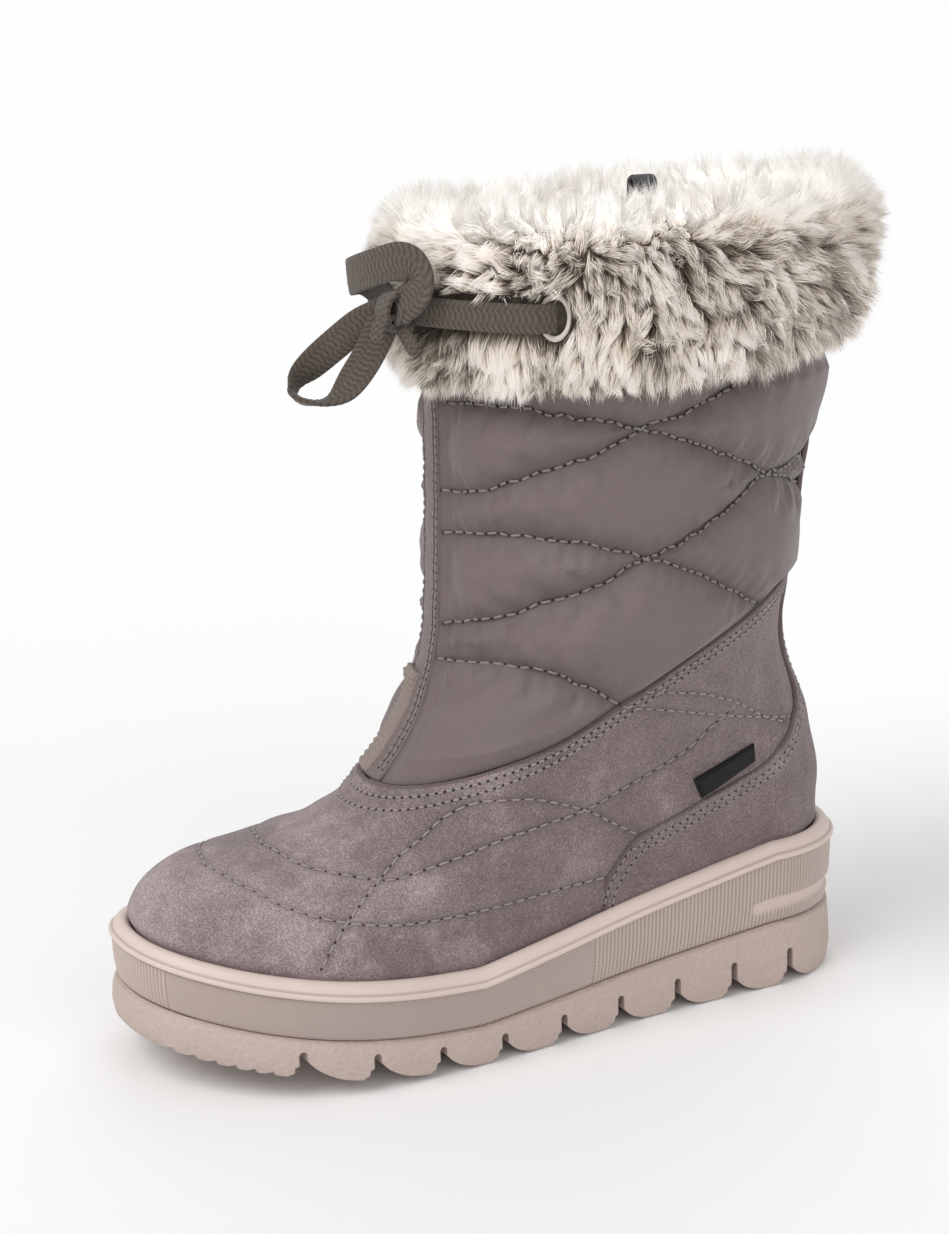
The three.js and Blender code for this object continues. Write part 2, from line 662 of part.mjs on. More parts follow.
addPart('midsole', makeMidsole(), RUBBER, 0.55);
addPart('outsole', makeOutsole(), TREAD, 0.6);
addPart('insole', makeInsole(), FELT, 0.95);
addPart('upper', wall.intersect(suedeSpace), SUEDE, 0.9);
addPart('shaft', wall.subtract(suedeSpaceGrown), TEXTILE, 0.6);
addPart('heel_counter', counter, SUEDE, 0.9);
addPart('label_tab', makeLabel(), DARK_TAB, 0.7);

let cuff = makeCuff();
for (const side of Object.values(sides)) cuff = cuff.subtract(eyeletSeat(side));
addPart('fur_cuff', cuff, FUR, 0.95);
addPart('pull_loop', makePullLoop(), DARK_TAB, 0.8);
for (const [name, side] of Object.entries(sides)) {
  addPart(`eyelet_${name}`, makeEyelet(side), EYELET_COLOUR, 0.5);
  addPart(`lace_bar_${name}`, makeBar(side).subtract(knotSpace), LACE_COLOUR, 0.9);
}
addPart('lace_knot', knot, LACE_COLOUR, 0.9);
const loose = [
  ['lace_loop_upper', UPPER_LOOP, LACE.width, LOOP_STEPS],
  ['lace_loop_lower', LOWER_LOOP, LACE.width, LOOP_STEPS],
  ['lace_end_front', FRONT_END, LACE.tipWidth, END_STEPS],
  ['lace_end_back', BACK_END, LACE.tipWidth, END_STEPS],
];
for (const [name, rows, width, steps] of loose) {
  addPart(name, looseRibbon(rows, width, steps).subtract(knotSpace), LACE_COLOUR, 0.9);
}

export default part;
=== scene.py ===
# A child's left snow boot, put together round the fixed CAD frame.
# Metres, +Z up, toe along -Y, outer side +X.
import math
import bmesh
import bpy
import numpy as np
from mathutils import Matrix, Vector
from mathutils.bvhtree import BVHTree
from mathutils.kdtree import KDTree


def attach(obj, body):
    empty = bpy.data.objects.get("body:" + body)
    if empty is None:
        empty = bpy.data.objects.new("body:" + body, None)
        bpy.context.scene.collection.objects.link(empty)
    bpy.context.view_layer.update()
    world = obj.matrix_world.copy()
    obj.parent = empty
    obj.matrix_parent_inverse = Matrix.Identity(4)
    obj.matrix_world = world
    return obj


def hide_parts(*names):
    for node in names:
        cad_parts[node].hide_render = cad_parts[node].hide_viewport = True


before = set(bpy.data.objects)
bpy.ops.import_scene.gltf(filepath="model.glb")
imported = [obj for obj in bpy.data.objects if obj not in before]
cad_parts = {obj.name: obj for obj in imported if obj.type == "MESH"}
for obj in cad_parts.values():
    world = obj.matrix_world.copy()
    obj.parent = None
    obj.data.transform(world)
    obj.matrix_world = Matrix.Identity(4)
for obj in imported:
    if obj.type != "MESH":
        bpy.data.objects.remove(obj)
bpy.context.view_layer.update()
MM = 0.001

# ---- studio ----
# A plain pale floor and soft lights all round, with the camera a little above the boot's middle.
# The camera stands off the outer side, in front of the toe.
CAMERA_PLACE = (0.72122, -0.46460, 0.34490)
CAMERA_TURN = 62.21
CAMERA_DIP = 15.14
CAMERA_ROLL = 0.10
LENS = 82.1


def add_object(name, data):
    """A new object in the scene, made of this data."""
    made = bpy.data.objects.new(name, data)
    bpy.context.scene.collection.objects.link(made)
    return made


camera = add_object("camera", bpy.data.cameras.new("camera"))
camera.location = CAMERA_PLACE
camera.rotation_euler = (math.radians(90 - CAMERA_DIP), math.radians(CAMERA_ROLL), math.radians(CAMERA_TURN))
camera.data.lens = LENS
camera.data.sensor_width = 36
camera.data.clip_start = 0.01
bpy.context.scene.camera = camera


def plain_material(name, colour, roughness):
    material = bpy.data.materials.new(name)
    material.use_nodes = True
    shader = material.node_tree.nodes["Principled BSDF"]
    shader.inputs["Base Color"].default_value = (*colour, 1)
    shader.inputs["Roughness"].default_value = roughness
    return material


def add_light(name, place, strength, softness):
    """A wide soft light, far away in the direction of place."""
    light = add_object(name, bpy.data.lights.new(name, "SUN"))
    light.location = place
    light.rotation_euler = Vector(place).to_track_quat("Z", "Y").to_euler()
    light.data.energy = strength
    light.data.angle = math.radians(softness)


add_light("key_light", (0.25, -1.3, 1.5), 1.55, 40)
add_light("fill_light", (1.5, 0.1, 0.8), 0.55, 50)
add_light("back_light", (-1.2, 0.9, 1.2), 0.5, 50)

world = bpy.data.worlds.new("studio")
bpy.context.scene.world = world
world.use_nodes = True
world.node_tree.nodes["Background"].inputs["Color"].default_value = (1, 1, 1, 1)
world.node_tree.nodes["Background"].inputs["Strength"].default_value = 0.52

FLOOR_HALF = 14.0
floor_mesh = bpy.data.meshes.new("floor")
corners = [(x * FLOOR_HALF, y * FLOOR_HALF, 0) for x, y in ((-1, -1), (1, -1), (1, 1), (-1, 1))]
floor_mesh.from_pydata(corners, [], [(0, 1, 2, 3)])
floor = add_object("floor", floor_mesh)
floor_mesh.materials.append(plain_material("floor_paint", (0.93, 0.93, 0.93), 0.9))
bpy.context.scene.view_settings.view_transform = "Standard"

# ---- midsole ----
# Foamed rubber moulded in one: a rounded rim that holds the upper, a thin ridge below it, and a side band
# that is tallest at the heel. The band carries small moulded diamonds, with upright ribs at toe and heel.
SOLE_LENGTH = 240
HEEL_BACK = 40
TOE_TIP = HEEL_BACK - SOLE_LENGTH
RIM_WIDTH = 6.4
CUP_DEPTH = 8
GAP = 0.3
# the toe's lift off the ground, and how far back it reaches as a share of the length
SPRING = 14.5
SPRING_SHARE = 0.42
# heights at the heel and at the ball, and the shares of the length where one passes into the other
RIDGE = (44.5, 26.5)
BAND_FOOT = (21, 11.8)
WEDGE_FROM = 0.85
WEDGE_SPAN = 0.45
OUTLINE = {
    "along": [0.00, 0.12, 0.25, 0.36, 0.50, 0.64, 0.80, 1.00],
    "outer": [37.0, 41.5, 46.0, 45.0, 41.5, 37.0, 34.5, 33.0],
    "inner": [45.0, 48.0, 46.5, 41.0, 33.0, 30.5, 32.5, 32.0],
}
TOE_ROUND = 53
HEEL_ROUND = 36
ROUND_POWER = 2.2


def column(values, at):
    """Reads a row of values at a fractional place, on a smooth curve through them."""
    values = np.asarray(values, float)
    last = len(values) - 1
    at = np.asarray(at, float)
    i = np.clip(np.floor(at).astype(int), 0, last - 1)
    u = np.clip(at - i, 0, 1)
    a, b, c, d = (values[np.clip(i + j, 0, last)] for j in (-1, 0, 1, 2))
    rise = (2 * u**3 - 3 * u**2 + 1) * b + (u**3 - 2 * u**2 + u) * (c - a) / 2
    return rise + (3 * u**2 - 2 * u**3) * c + (u**3 - u**2) * (d - b) / 2


def mix(a, b, share):
    return a + (b - a) * share


def unit(v):
    return v / np.linalg.norm(v, axis=-1, keepdims=True)


def distance_along(points):
    """How far along a line of points each of them lies."""
    return np.concatenate([[0], np.cumsum(np.linalg.norm(np.diff(points, axis=0), axis=1))])


def round_end(distance, length, power):
    rest = np.clip(1 - distance / length, 0, 1)
    return (1 - rest**power) ** (1 / power)


def from_toe(y):
    return np.clip((y - TOE_TIP) / SOLE_LENGTH, 0, 1)


def toe_spring(y):
    past = np.clip((SPRING_SHARE - from_toe(y)) / SPRING_SHARE, 0, 1)
    return SPRING * past**1.6


def sole_height(heel, ball, y):
    fall = np.clip((WEDGE_FROM - from_toe(y)) / WEDGE_SPAN, 0, 1)
    return mix(heel, ball, fall) + toe_spring(y)


def ridge(y):
    return sole_height(*RIDGE, y)


def band_foot(y):
    return sole_height(*BAND_FOOT, y)


def cup_floor(y):
    return ridge(y) + 1.6 - CUP_DEPTH


def plain_half(side, y):
    along = np.interp(from_toe(y), OUTLINE["along"], range(len(OUTLINE["along"])))
    return column(OUTLINE[side], along)


def side_widths(y):
    """The half width at y, measured from the line midway between the sides, and that line's x."""
    wide, narrow = plain_half("outer", y), plain_half("inner", y)
    return (wide + narrow) / 2, (wide - narrow) / 2


def sole_ring(offset, turns):
    """Outline points moved out by offset; a turn of 0 is the toe, 0.25 the outer side and 0.5 the heel."""
    def edge(turn):
        y = mix(TOE_TIP, HEEL_BACK, (1 - np.cos(2 * np.pi * turn)) / 2)
        half, middle = side_widths(y)
        half = half * round_end(y - TOE_TIP, TOE_ROUND, ROUND_POWER)
        half = half * round_end(HEEL_BACK - y, HEEL_ROUND, ROUND_POWER)
        return np.stack([middle + np.where(turn % 1 <= 0.5, half, -half), y], -1)
    ahead = unit(edge(turns + 0.002) - edge(turns - 0.002))
    return edge(turns) + np.stack([ahead[..., 1], -ahead[..., 0]], -1) * np.asarray(offset)[..., None]


def grid_faces(rows, columns, loop=False):
    """Quads between rows of points; with loop, the last column joins the first."""
    i, k = np.meshgrid(np.arange(rows - 1), np.arange(columns if loop else columns - 1), indexing="ij")
    after = (k + 1) % columns
    near, far = i * columns, (i + 1) * columns
    return np.stack([near + k, near + after, far + after, far + k], -1).reshape(-1, 4)


def face_outward(mesh):
    work = bmesh.new()
    work.from_mesh(mesh)
    bmesh.ops.recalc_face_normals(work, faces=work.faces)
    work.to_mesh(mesh)
    work.free()


def make_piece(name, points, faces, material, uv=None, smooth=True):
    """A mesh in metres from points in millimetres, riding on the boot's one body."""
    mesh = bpy.data.meshes.new(name)
    places = (np.asarray(points).reshape(-1, 3) * MM).tolist()
    mesh.from_pydata(places, [], [tuple(int(i) for i in f) for f in faces])
    if uv is not None:
        layer = mesh.uv_layers.new(name="surface")
        index = np.empty(len(mesh.loops), np.int32)
        mesh.loops.foreach_get("vertex_index", index)
        layer.data.foreach_set("uv", (np.asarray(uv).reshape(-1, 2)[index] * MM).ravel().astype(np.float32))
    mesh.polygons.foreach_set("use_smooth", [smooth] * len(mesh.polygons))
    mesh.materials.append(material)
    face_outward(mesh)
    piece = add_object(name, mesh)
    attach(piece, "root")
    return piece


class Finish:
    """A material under construction: its nodes, linked one to the next."""
    def __init__(self, name, roughness=0.6, **sockets):
        self.material = bpy.data.materials.new(name)
        self.material.use_nodes = True
        self.tree = self.material.node_tree
        self.shader = self.tree.nodes["Principled BSDF"]
        self.shader.inputs["Roughness"].default_value = roughness
        for socket, value in sockets.items():
            self.shader.inputs[socket.replace("_", " ")].default_value = value

    def plug(self, value, socket):
        """Links another node's output to a socket, or gives the socket a value."""
        if isinstance(value, bpy.types.NodeSocket):
            self.tree.links.new(value, socket)
        else:
            socket.default_value = value

    def node(self, kind, inputs=None, **settings):
        made = self.tree.nodes.new(kind)
        for key, value in settings.items():
            setattr(made, key, value)
        for key, value in (inputs or {}).items():
            self.plug(value, made.inputs[key])
        return made

    def place(self, kind="Object"):
        return self.node("ShaderNodeTexCoord").outputs[kind]

    def tone(self):
        """The lightness that the mesh carries at each of its points: painted shade on most pieces, mostly
        the hairs' own colours on the fur.
        """
        return self.node("ShaderNodeAttribute", attribute_name="tone").outputs["Fac"]

    def noise(self, scale, detail=4, rough=0.55, where=None):
        inputs = {"Vector": where or self.place(), "Scale": scale, "Detail": detail, "Roughness": rough}
        return self.node("ShaderNodeTexNoise", inputs).outputs["Fac"]

    def blend(self, share, low, high, kind="MIX"):
        made = self.node("ShaderNodeMix", data_type="RGBA", blend_type=kind)
        for key, value in (("Factor", share), ("A", low), ("B", high)):
            socket = next(s for s in made.inputs if s.name == key and s.enabled)
            self.plug((*value, 1) if isinstance(value, tuple) else value, socket)
        return next(s for s in made.outputs if s.enabled)

    def ramp(self, share, stops):
        made = self.node("ShaderNodeValToRGB", {"Fac": share})
        elements = made.color_ramp.elements
        while len(elements) < len(stops):
            elements.new(0.5)
        for element, (place, colour) in zip(elements, stops):
            element.position = place
            element.color = (*colour, 1)
        return made.outputs["Color"]

    def math(self, operation, a, b=0.0, c=0.0):
        return self.node("ShaderNodeMath", {0: a, 1: b, 2: c}, operation=operation).outputs[0]

    def bump(self, *layers):
        """Each layer is a height in the range 0 to 1 and its depth in millimetres."""
        normal = None
        for height, depth in layers:
            inputs = {"Height": height, "Distance": depth * MM, "Strength": 1.0}
            if normal is not None:
                inputs["Normal"] = normal
            normal = self.node("ShaderNodeBump", inputs).outputs["Normal"]
        self.plug(normal, self.shader.inputs["Normal"])

    def colour(self, socket):
        self.plug(socket, self.shader.inputs["Base Color"])
        return self.material

    def vary_roughness(self, share, low, high):
        made = self.node("ShaderNodeMapRange", {"Value": share, "To Min": low, "To Max": high})
        self.plug(made.outputs["Result"], self.shader.inputs["Roughness"])


def shade(red, green, blue):
    """A display colour from 0 to 255 as scene-linear values."""
    channels = (red, green, blue)
    return tuple((c / 255 / 12.92) if c <= 10 else ((c / 255 + 0.055) / 1.055) ** 2.4 for c in channels)


# the rim's section from the cup outwards and down over the ridge: out from the outline, above the ridge line
RIM_SECTION = [
    (-6.45, -1.5), (-6.4, 1.3), (-5.8, 2.3), (-4.9, 2.95), (-3.9, 3.05), (-3.0, 2.8), (-2.2, 2.2),
    (-1.6, 1.4),
    (-1.2, 0.5), (-1.05, 0.0), (-0.75, -0.25), (-0.3, -0.3), (0.05, -0.55), (0.2, -1.0), (0.15, -1.5),
    (-0.15, -1.9), (-0.7, -2.1), (-1.1, -2.1),
]
RIM_GROOVES = (0.0, -0.25, -2.1)
BAND_ROWS = 26
BAND_COLUMNS = 800
TEXTURE_DEPTH = 0.75
TOE_RIBS_TO = -194.5
HEEL_RIBS_FROM = -64
# a smooth raised bar crosses the ribs at the back: where it starts, how far down it lies and its half height
BAR_FROM = -4
BAR_DOWN = 0.68
BAR_HALF = 0.1

turns = np.arange(BAND_COLUMNS) / BAND_COLUMNS
# columns are spread evenly along the outline, so that the texture has one pitch all round
fine = np.linspace(0, 1, 4001)
run = distance_along(sole_ring(0, fine))
even_turns = np.interp(turns * run[-1], run, fine)
sole_girth = run[-1]


def ring_row(out, height_of_y, turns):
    """A row of points round the sole."""
    flat = sole_ring(out, turns)
    return np.concatenate([flat, height_of_y(flat[:, 1])[:, None]], 1)


# tones darken the grooves, the hollows of the band's texture and the rows under the band: painted shade
rows, tones = [], []
for out, above in RIM_SECTION:
    rows.append(ring_row(out, lambda y: ridge(y) + above, even_turns))
    tones.append(np.full(BAND_COLUMNS, 0.45 if above in RIM_GROOVES else 1.0))
band_y = sole_ring(0, even_turns)[:, 1]
odd_column = np.arange(BAND_COLUMNS) % 2
ribbed = (band_y < TOE_RIBS_TO) | (band_y > HEEL_RIBS_FROM)
for i in range(BAND_ROWS + 1):
    down = i / BAND_ROWS
    height = np.where(ribbed, odd_column, (odd_column + i) % 2)
    in_bar = (band_y > BAR_FROM) & (abs(down - BAR_DOWN) < BAR_HALF)
    raised = np.where(in_bar | (i in (0, BAND_ROWS)), 0.0, height)
    out = -0.75 - 1.5 * down**3 - 0.35 * in_bar - TEXTURE_DEPTH * (1 - raised)
    rows.append(ring_row(out, lambda y: mix(ridge(y) - 2.2, band_foot(y) + GAP / 2, down), even_turns))
    band_shade = mix(0.5, 0.1, ribbed) + mix(0.45, 0.85, ribbed) * raised
    tones.append(np.where(in_bar, 0.85, band_shade))
for out, height in ((-5.0, lambda y: band_foot(y) + GAP / 2), (-8.0, cup_floor)):
    rows.append(ring_row(out, height, even_turns))
    tones.append(np.full(BAND_COLUMNS, 0.3))


def add_tone(piece, tones):
    attribute = piece.data.attributes.new("tone", "FLOAT", "POINT")
    attribute.data.foreach_set("value", np.asarray(tones, np.float32).ravel())


def foam_rubber():
    """Smooth moulded foam rubber, with painted shade in its hollows, faint scuffs and dust."""
    finish = Finish("foam_rubber", 0.5)
    cloud = finish.noise(38, 5)
    speck = finish.noise(900, 2)
    clean = finish.blend(cloud, shade(208, 189, 180), shade(222, 205, 197))
    # the mesh's tone darkens the hollows: painted shade
    hollow_shaded = finish.blend(finish.tone(), shade(158, 141, 132), clean)
    finish.bump((speck, 0.05), (cloud, 0.25))
    finish.vary_roughness(cloud, 0.42, 0.62)
    return finish.colour(hollow_shaded)


ring_count = len(rows)
points = np.array(rows)
loop_faces = grid_faces(ring_count, BAND_COLUMNS, loop=True)
# each textured quad is split along its low corners, so that the raised ones stand as small pyramids
first_row = len(RIM_SECTION) * BAND_COLUMNS
row_of = (loop_faces[:, 0] - first_row) // BAND_COLUMNS
in_texture = (row_of >= 0) & (row_of < BAND_ROWS)
textured, plain_rows, row_of = loop_faces[in_texture], loop_faces[~in_texture], row_of[in_texture]
raised_first = (row_of + textured[:, 0] % BAND_COLUMNS) % 2 == 1
turned = np.where(raised_first[:, None], np.roll(textured, -1, axis=1), textured)
pyramids = np.concatenate([turned[:, [0, 1, 2]], turned[:, [0, 2, 3]]])
close = np.stack([np.arange(BAND_COLUMNS), (np.arange(BAND_COLUMNS) + 1) % BAND_COLUMNS], 1)
last_row = (ring_count - 1) * BAND_COLUMNS
closing = np.concatenate([close[:, ::-1], close + last_row], 1)
midsole_faces = plain_rows[:, ::-1].tolist() + closing[:, ::-1].tolist() + pyramids[:, ::-1].tolist()
midsole = make_piece("midsole_band", points, midsole_faces, foam_rubber())
add_tone(midsole, np.array(tones))
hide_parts("midsole")

# ---- outsole ----
# Harder rubber bonded under the midsole. Nine slots cut it into cross lugs, each rounded at its toeward end
# and stepped at its heelward end; the toe lug is serrated underneath and the heel lug behind.
LUG_PITCH = 21.5
FIRST_SLOT_Y = -162
SLOT_COUNT = 9
SLOT_WIDTH = 2.4
LUG_NOSE = 13.5
LUG_RISE = 5.6
SLOT_TOP = (12, 8.5)
CHANNEL_Y = (-150, -25)
CHANNEL_DEPTH = 6
CHANNEL_HALF = 4.5


def slot_top(y):
    return sole_height(*SLOT_TOP, y)


def prism(outline, half_width=90):
    """A side view of y and z, pushed across the sole, as points and faces."""
    doubled_area = sum(a[0] * b[1] - b[0] * a[1] for a, b in zip(outline, outline[1:] + outline[:1]))
    outline = outline if doubled_area > 0 else outline[::-1]
    n = len(outline)
    points = [(side * half_width, y, z) for side in (-1, 1) for y, z in outline]
    sides = [(i, (i + 1) % n, n + (i + 1) % n, n + i) for i in range(n)]
    return points, sides + [tuple(range(n))[::-1], tuple(range(n, 2 * n))]


def slot_outline(y):
    front, back = y - SLOT_WIDTH / 2, y + SLOT_WIDTH / 2
    top, ground = float(slot_top(y)), float(toe_spring(y))
    arch_angles = np.linspace(0, math.pi, 7)
    arch = [(y - SLOT_WIDTH / 2 * math.cos(a), top - 1.2 + 1.2 * math.sin(a)) for a in arch_angles]
    nose_end = float(toe_spring(back + LUG_NOSE))
    bow = np.linspace(0, 1, 8)
    nose_y = back + LUG_NOSE * (0.5 * bow * (1 - bow) + bow**2)
    nose_z = (1 - bow)**2 * (ground + LUG_RISE) + 2 * bow * (1 - bow) * (ground + 0.5)
    nose_z = nose_z + bow**2 * nose_end
    stairs = [(-2.6, -1.0), (-2.5, 1.4), (-1.2, 1.9), (-1.1, 3.6), (0.0, 4.3)]
    stairs = [(front + back_by, ground + up) for back_by, up in stairs]
    return [(nose_y[-1] + 0.5, -6.0), (front - 2.6, -6.0)] + stairs + arch + list(zip(nose_y, nose_z))


def tooth(y, z, reach, drop):
    return [(y - reach, z - 0.6), (y + reach, z - 0.6), (y + 0.6 * reach, z + drop)]


def join_solids(solids):
    points, faces = [], []
    for solid_points, solid_faces in solids:
        faces += [tuple(i + len(points) for i in face) for face in solid_faces]
        points += solid_points
    return points, faces


def tread_rubber():
    """Matt rubber with a fine grain, a pebbled surface and cloudy grey dust."""
    finish = Finish("tread_rubber", 0.66)
    grain = finish.noise(1500, 3, 0.7)
    cloud = finish.noise(30, 5)
    pebbles = finish.node("ShaderNodeTexVoronoi",
                          {"Vector": finish.place(), "Scale": 620.0}).outputs["Distance"]
    colour = finish.blend(grain, shade(174, 156, 147), shade(205, 187, 178))
    colour = finish.blend(finish.math("MULTIPLY", pebbles, 0.35), colour, shade(214, 196, 187))
    colour = finish.blend(finish.math("MULTIPLY", cloud, 0.5), colour, shade(168, 152, 143))
    finish.bump((grain, 0.12), (pebbles, 0.28), (cloud, 0.2))
    return finish.colour(colour)


TREAD_COLUMNS = 260
# the tread's wall from the ground up: out from the outline, and the height at y
TREAD_SECTION = [
    (-1.6, toe_spring),
    (-0.9, lambda y: toe_spring(y) + 0.7),
    (-0.2, lambda y: mix(toe_spring(y), slot_top(y), 0.5)),
    (-0.5, slot_top),
    (-1.3, lambda y: band_foot(y) - 0.8),
    (-2.4, lambda y: band_foot(y) - GAP / 2),
]
tread_turns = np.interp(np.arange(TREAD_COLUMNS) / TREAD_COLUMNS * sole_girth, run, fine)
tread_rows = [ring_row(out, height, tread_turns) for out, height in TREAD_SECTION]
half = TREAD_COLUMNS // 2
k = np.arange(half)
across = np.stack([k, k + 1, (TREAD_COLUMNS - k - 1) % TREAD_COLUMNS, (TREAD_COLUMNS - k) % TREAD_COLUMNS],
                  1)
lid = across + (len(tread_rows) - 1) * TREAD_COLUMNS
tread_wall = grid_faces(len(tread_rows), TREAD_COLUMNS, loop=True)
tread_faces = np.concatenate([tread_wall, across[:, ::-1], lid]).tolist()
tread_faces = [tuple(dict.fromkeys(face)) for face in tread_faces]
tread_material = tread_rubber()
outsole = make_piece("outsole_tread", np.array(tread_rows), tread_faces, tread_material)

cuts = [prism(slot_outline(FIRST_SLOT_Y + i * LUG_PITCH)) for i in range(SLOT_COUNT)]
cuts += [prism(tooth(y, float(toe_spring(y)), 2.2, 1.3)) for y in np.arange(-194, -167, 4.6)]
for z in (2.5, 6.2, 9.9):
    notch_tip = (HEEL_BACK - 2.4 + 0.02 * z, z)
    cuts.append(prism([(HEEL_BACK + 2, z - 1.7), (HEEL_BACK + 2, z + 1.7), notch_tip]))
front, back = CHANNEL_Y
channel = [(front, -6), (back, -6), (back, CHANNEL_DEPTH), (front, CHANNEL_DEPTH)]
cuts.append(prism(channel, CHANNEL_HALF))
cutter_points, cutter_faces = join_solids(cuts)
cutter = make_piece("tread_cutter", cutter_points, cutter_faces, tread_material, smooth=False)
cut = outsole.modifiers.new("cut", "BOOLEAN")
cut.operation = "DIFFERENCE"
cut.solver = "EXACT"
cut.use_self = True
cut.object = cutter


def settle(piece):
    """Turns a piece's modifiers into its own mesh."""
    bpy.context.view_layer.update()
    result = bpy.data.meshes.new_from_object(piece.evaluated_get(bpy.context.evaluated_depsgraph_get()))
    piece.modifiers.clear()
    piece.data = result


def crisp_edges(piece, degrees=32):
    """Smooth faces, with the edges where they turn sharply left hard."""
    piece.data.polygons.foreach_set("use_smooth", [True] * len(piece.data.polygons))
    piece.data.set_sharp_from_angle(angle=math.radians(degrees))


settle(outsole)
crisp_edges(outsole)
bpy.data.objects.remove(cutter)
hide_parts("outsole")

# ---- the last ----
# The foot and leg are drawn over one form: sections from the sole line, over toe, vamp, throat, instep and
# ankle, up to the collar. Every layer of the upper lies at its own distance from this form.
LAST = {
    "front_y": [-192.5, -193.5, -190.5, -181, -165, -148, -133, -121, -110, -102, -98, -97, -97, -98, -99],
    "front_z": [41, 46, 53, 59, 62.5, 66, 70.5, 79, 91, 105, 122, 150, 180, 206, 254],
    "back_y": [32.5, 32.5, 33, 32, 30, 27.5, 24, 20.5, 18, 17.5, 18.5, 21.5, 26, 30, 32],
    "back_z": [46, 53, 61, 69, 77, 86, 94, 102, 110, 119, 131, 152, 180, 206, 254],
    "foot": [1, 1, 1, 1, 1, 0.92, 0.75, 0.52, 0.3, 0.12, 0, 0, 0, 0, 0],
    "inset": [0, 0, 1, 3, 5.5, 7, 7, 5, 3, 1, 0, 0, 0, 0, 0],
    "leg": [40, 40, 40, 40, 40, 40, 40, 41, 42, 43.5, 45, 46, 47.5, 49, 51],
    "front_round": [48, 50, 54, 60, 68, 72, 70, 66, 62, 60, 58, 59, 61, 64, 66],
    "back_round": [32, 33, 34, 35, 36, 38, 42, 47, 52, 57, 58, 59, 61, 64, 66],
}
TOP_LEVEL = 14.0


def bare_last(level, turn):
    row = {key: column(values, level) for key, values in LAST.items()}
    foot = np.clip(row["foot"], 0, 1)
    share = (1 - np.cos(2 * np.pi * turn)) / 2
    y = mix(row["front_y"], row["back_y"], share)
    forward = np.clip(1 - 2 * share, 0, 1)
    widths = []
    for side in ("outer", "inner"):
        widths.append(mix(row["leg"], plain_half(side, y) - RIM_WIDTH - GAP - row["inset"] * forward, foot))
    half, middle = (widths[0] + widths[1]) / 2, (widths[0] - widths[1]) / 2
    power = mix(2, ROUND_POWER, foot)
    closing = round_end(y - row["front_y"], row["front_round"], power)
    closing = closing * round_end(row["back_y"] - y, row["back_round"], power)
    lift_front = row["front_z"] - ridge(row["front_y"])
    lift_back = row["back_z"] - ridge(row["back_y"])
    bent = ridge(y) + mix(lift_front, lift_back, share)
    z = mix(mix(row["front_z"], row["back_z"], share), bent, foot)
    return np.stack([middle + np.where(turn % 1 <= 0.5, half, -half) * closing, y, z], -1)


def last_normal(level, turn):
    across = bare_last(level, turn + 0.005) - bare_last(level, turn - 0.005)
    up = bare_last(np.minimum(level + 0.05, TOP_LEVEL), turn) - bare_last(np.maximum(level - 0.05, 0), turn)
    return unit(np.cross(across, up))


def on_last(level, turn, out=0.0):
    level, turn = np.broadcast_arrays(np.asarray(level, float), np.asarray(turn, float))
    return bare_last(level, turn) + last_normal(level, turn) * np.asarray(out)[..., None]


def tree_of(points, columns, loop=True):
    """A surface to lay lines on, from rows of points."""
    faces = grid_faces(len(points), columns, loop).tolist()
    return BVHTree.FromPolygons(points.reshape(-1, 3).tolist(), faces)


form_levels, form_turns = np.meshgrid(np.linspace(0, TOP_LEVEL, 240), np.arange(360) / 360, indexing="ij")
form_tree = tree_of(bare_last(form_levels, form_turns), 360)


def laid(points, tree):
    """The nearest places on a surface, and the surface's directions there."""
    found = [tree.find_nearest(Vector(p)) for p in points]
    return np.array([f[0] for f in found]), np.array([f[1] for f in found])


def smooth_run(points, step=0.6):
    """A smooth curve through given points, cut into even steps."""
    points = np.asarray(points, float)
    at = np.linspace(0, len(points) - 1, 60 * len(points))
    curve = np.stack([column(points[:, i], at) for i in range(points.shape[1])], -1)
    lengths = distance_along(curve)
    even = np.linspace(0, lengths[-1], max(3, int(lengths[-1] / step)))
    return np.stack([np.interp(even, lengths, curve[:, i]) for i in range(points.shape[1])], -1)


def both_sides(lines):
    """Each line on the outer side, and its mirror on the inner side."""
    return [np.array(line, float) * side for line in lines for side in ((1, 1, 1), (-1, 1, 1))]


def point_tree(spots):
    tree = KDTree(len(spots))
    for i, spot in enumerate(spots):
        tree.insert(spot, i)
    tree.balance()
    return tree


def nearness(points, lines):
    """How far each point lies from the nearest of several lines, and how far along it."""
    tree = point_tree(np.concatenate(lines))
    found = [tree.find(p)[1:] for p in points.reshape(-1, 3)]
    index = np.array([f[0] for f in found])
    return np.array([f[1] for f in found]).reshape(points.shape[:-1]), index.reshape(points.shape[:-1])


# ---- suede foot ----
# Brushed suede from the sole up to a slanting edge that is cut raw and turned over the quilted shaft.
# It is one wall with the pile lining inside, decorated with crossing rows of pale stitching.
UPPER_WALL = 4.0
CLOTH_GIRTH = 340.0
SUEDE_EDGE_Y = [-140, -121, -108, -92, -75, -56, -31, -6, 10, 60]
SUEDE_EDGE_Z = [77, 79, 82, 87, 93.5, 104, 118, 128, 132, 136]
edge_at = np.linspace(0, len(SUEDE_EDGE_Y) - 1, 200)
edge_y, edge_z = column(SUEDE_EDGE_Y, edge_at), column(SUEDE_EDGE_Z, edge_at)


def level_where(test, turn):
    """The level at which a rising test passes zero, column by column."""
    low, high = np.zeros_like(turn), np.full_like(turn, TOP_LEVEL)
    for _ in range(30):
        middle = (low + high) / 2
        below = test(bare_last(middle, turn)) < 0
        low, high = np.where(below, middle, low), np.where(below, high, middle)
    return (low + high) / 2


FOOT_COLUMNS = 300
foot_turns = np.arange(FOOT_COLUMNS) / FOOT_COLUMNS


def suede_edge_level(turn, above=0.0):
    return level_where(lambda p: p[..., 2] - above - np.interp(p[..., 1], edge_y, edge_z), turn)


